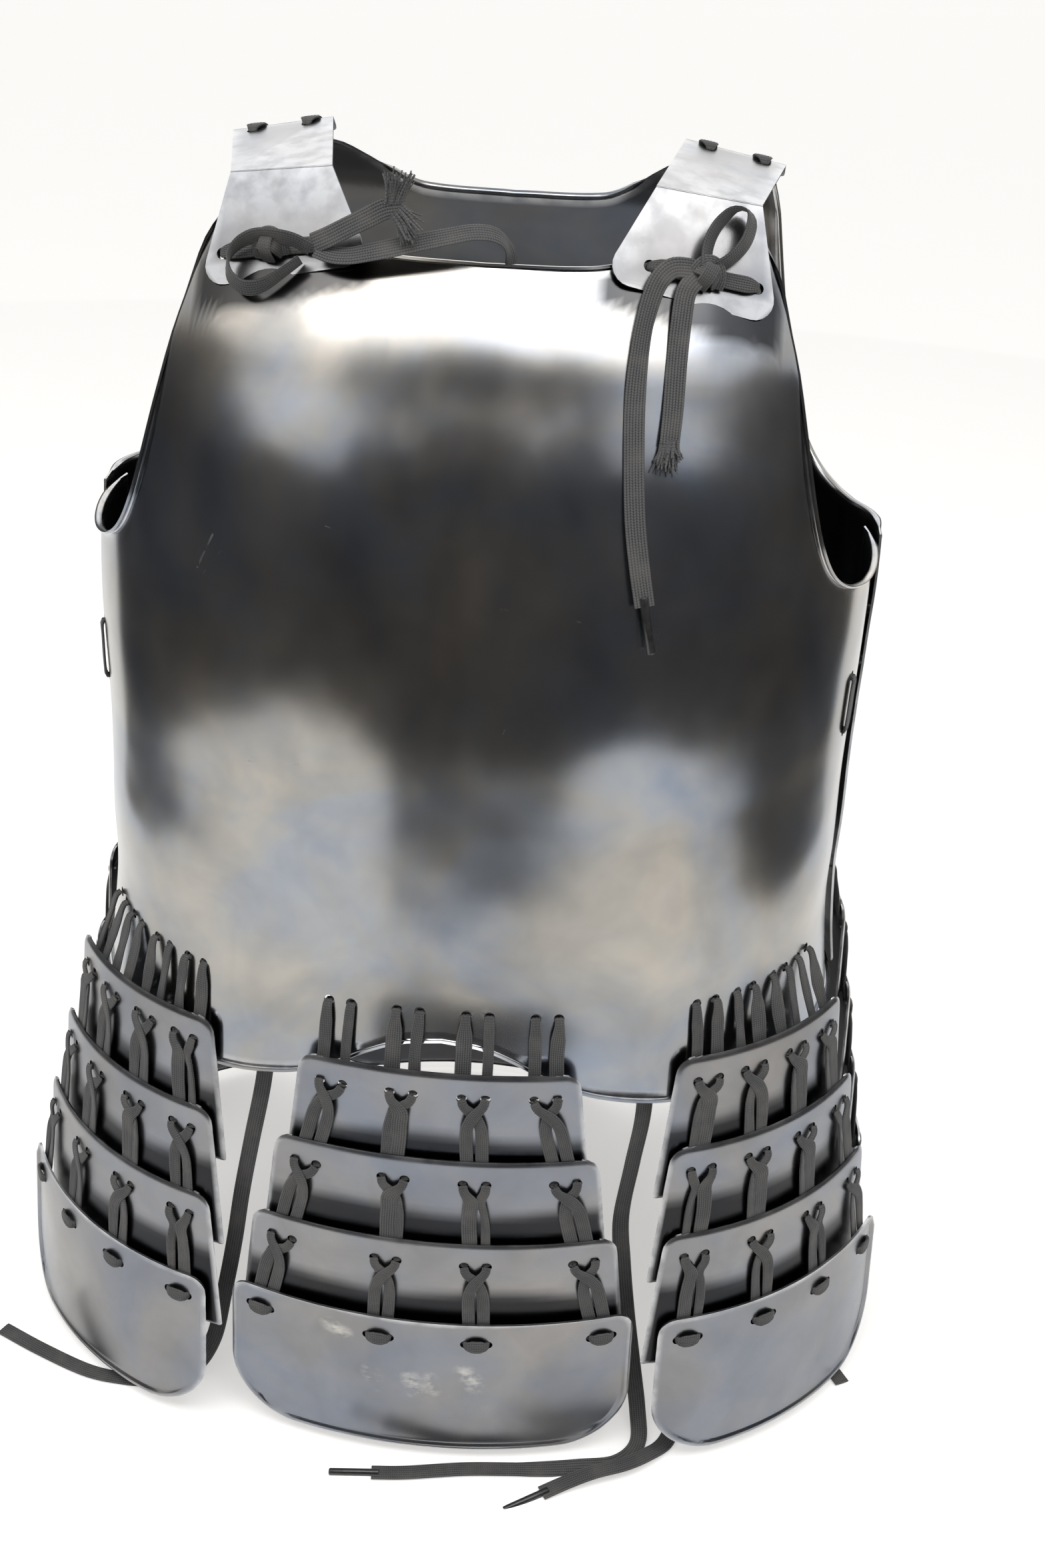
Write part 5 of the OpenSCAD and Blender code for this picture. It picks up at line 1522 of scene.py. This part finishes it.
def softbox(name, azimuth, elevation, size, glow, colour=(1, 1, 1), away=1.9):
    """An area lamp that faces the chest from a direction. glow is how bright its face looks."""
    aim = Vector((0, -0.06, 0.22))
    way = Vector((sin_d(azimuth) * cos_d(elevation), -cos_d(azimuth) * cos_d(elevation), sin_d(elevation)))
    bpy.ops.object.light_add(type="AREA", location=aim + way * away)
    lamp = bpy.context.object
    lamp.name = name
    lamp.rotation_euler = way.to_track_quat("Z", "Y").to_euler()
    lamp.data.shape = "RECTANGLE"
    lamp.data.size, lamp.data.size_y = size
    lamp.data.energy = glow * math.pi * size[0] * size[1]
    lamp.data.color = colour
    lamp.visible_camera = False
    return lamp


# Dark cards round the set, a painted reflection of a dark room that shows only in the steel: the azimuth,
# the reach of the pale floor before the card, and how high the card behind it stands, in degrees above the
# chest
FLOOR_Z, CARD_REACH = -0.2732, 2.6
REFLECTION_CARDS = [(-180, 1.2, 9), (-152, 1.3, 9), (-146, 2.5, 10), (-120, 2.5, 15), (-114, 0.84, 16),
          (-98, 0.80, 17), (-78, 0.85, 27), (-60, 1.00, 34), (-45, 1.18, 34), (-32, 1.40, 42),
          (-22, 1.20, 47), (-16, 0.95, 50), (-12, 0.74, 50), (-4, 0.71, 50), (5, 0.71, 50),
          (15, 0.75, 50), (20, 0.98, 47), (26, 1.10, 43), (34, 1.12, 38), (46, 1.02, 34), (60, 0.95, 34),
          (72, 0.80, 28), (82, 0.69, 24), (98, 0.74, 17), (122, 0.84, 16), (128, 2.5, 14), (146, 2.5, 10),
          (152, 1.3, 9), (180, 1.2, 9)]


def reflection_cards():
    """Dark cards on the floor and upright round the set, which only show in the polished steel: a painted
    reflection of a dark room that glows faintly instead of being lit.
    """
    points, faces = [], []
    around = np.arange(-180, 180.1, 3)
    azimuth, near, rise = np.array(REFLECTION_CARDS, float).T
    for a in around:
        way = Vector((sin_d(a), -cos_d(a), 0))
        points.append(way * float(np.interp(a, azimuth, near)) + Vector((0, 0, FLOOR_Z + 0.004)))
        points.append(way * CARD_REACH + Vector((0, 0, FLOOR_Z + 0.004)))
        top = 0.2 + CARD_REACH * math.tan(math.radians(float(np.interp(a, azimuth, rise))))
        points.append(way * CARD_REACH + Vector((0, 0, top)))
    for i in range(len(around) - 1):
        for k in (0, 1):
            a = 3 * i + k
            faces.append((a, a + 1, a + 4, a + 3))
    obj = mesh_object("reflection_cards", points, faces)
    # Painted reflection: the cards glow faintly of their own instead of being lit by the lamps.
    n = Nodes("reflection_card_glow")
    glow = n.noise(n.coordinates(), 1.6, 2.0)
    n.set(Base_Color=(0, 0, 0, 1), Specular_IOR_Level=0.0, Emission_Strength=1.0,
          Emission_Color=n.ramp(glow, (0.35, (0.055, 0.056, 0.06)), (0.65, (0.115, 0.11, 0.105))))
    obj.data.materials.append(n.mat)
    obj.visible_camera = False
    obj.visible_diffuse = False
    obj.visible_transmission = False
    obj.visible_shadow = False


def shown(n):
    """One for rays that show a surface: from the camera, in a reflection or through glass."""
    path = n.add("ShaderNodeLightPath").outputs
    return n.math("MAXIMUM", n.math("MAXIMUM", path["Is Camera Ray"], path["Is Glossy Ray"]),
                  path["Is Transmission Ray"])


class ARMOUR_OT_stage(bpy.types.Operator):
    """Adds the floor, the studio lights and the pale surroundings"""
    bl_idname = "armour.stage"
    bl_label = "Studio"

    def execute(self, context):
        clear_selection()
        bpy.ops.mesh.primitive_circle_add(vertices=64, radius=60, fill_type="NGON", location=(0, 0, FLOOR_Z))
        floor = context.object
        floor.name = "floor"
        bpy.ops.object.transform_apply(location=True)
        n = Nodes("pale_floor")
        colour = tuple(finish_of().floor)
        n.set(Base_Color=n.mix(n.noise(n.coordinates(), 3.0), (*colour, 1), shade(colour, 1.02)),
              Roughness=0.75, Specular_IOR_Level=0.2, Emission_Color=(1.0, 0.985, 0.96, 1),
              Emission_Strength=n.math("MULTIPLY", shown(n), 0.46))
        floor.data.materials.append(n.mat)
        self.surroundings(context)
        softbox("front_softbox", 0, 65.5, (2.1, 0.85), 3.7)
        softbox("left_softbox", -50, 42, (1.1, 0.7), 0.95, (0.97, 0.985, 1))
        softbox("right_softbox", 42, 47, (1.1, 0.7), 0.6, (1, 0.985, 0.96))
        softbox("rear_softbox", 180, 26, (2.6, 0.7), 0.9).visible_diffuse = False
        # Dark cards that show only in the steel, as a painted reflection of a dark room.
        reflection_cards()
        return {"FINISHED"}

    def surroundings(self, context):
        """A pale world, brighter where it is seen than where it lights the steel."""
        world = bpy.data.worlds.new("studio")
        context.scene.world = world
        world.use_nodes = True
        tree = world.node_tree
        path = tree.nodes.new("ShaderNodeLightPath")
        seen = [path.outputs[ray] for ray in ("Is Camera Ray", "Is Glossy Ray", "Is Transmission Ray")]
        for _ in range(2):
            most = tree.nodes.new("ShaderNodeMath")
            most.operation = "MAXIMUM"
            tree.links.new(seen.pop(), most.inputs[0])
            tree.links.new(seen.pop(), most.inputs[1])
            seen.append(most.outputs[0])
        level = tree.nodes.new("ShaderNodeMapRange")
        level.inputs["To Min"].default_value = 0.5
        level.inputs["To Max"].default_value = 1.0
        tree.links.new(seen[0], level.inputs["Value"])
        sky = tree.nodes["Background"]
        sky.inputs["Color"].default_value = (1.0, 0.995, 0.985, 1)
        tree.links.new(level.outputs["Result"], sky.inputs["Strength"])


STEPS = ("camera", "shoulder_ties", "tails", "cuirass", "shoulder_plates", "skirt_plates", "skirt_laces",
         "body_laces", "stage")


class ARMOUR_PT_panel(bpy.types.Panel):
    """Lists the steps that build the armour"""
    bl_idname = "ARMOUR_PT_panel"
    bl_label = "Armour"
    bl_space_type = "VIEW_3D"
    bl_region_type = "UI"
    bl_category = "Armour"

    def draw(self, context):
        for group in (context.scene.armour_finish, context.scene.armour_sizes):
            for key in group.__annotations__:
                self.layout.prop(group, key)
        for step in STEPS:
            self.layout.operator(f"armour.{step}")


CLASSES = (ArmourFinish, ArmourSizes, ARMOUR_OT_camera, ARMOUR_OT_shoulder_ties, ARMOUR_OT_tails,
           ARMOUR_OT_cuirass, ARMOUR_OT_shoulder_plates, ARMOUR_OT_skirt_plates, ARMOUR_OT_skirt_laces,
           ARMOUR_OT_body_laces, ARMOUR_OT_stage, ARMOUR_PT_panel)


def register():
    for cls in CLASSES:
        bpy.utils.register_class(cls)
    bpy.types.Scene.armour_finish = bpy.props.PointerProperty(type=ArmourFinish)
    bpy.types.Scene.armour_sizes = bpy.props.PointerProperty(type=ArmourSizes)


def unregister():
    del bpy.types.Scene.armour_sizes
    del bpy.types.Scene.armour_finish
    for cls in reversed(CLASSES):
        bpy.utils.unregister_class(cls)


def main():
    """Builds everything in order."""
    register()
    scene = bpy.context.scene
    scene.view_settings.view_transform = "Standard"
    clear_selection()
    for step in STEPS:
        getattr(bpy.ops.armour, step)()


if __name__ == "__main__":
    main()
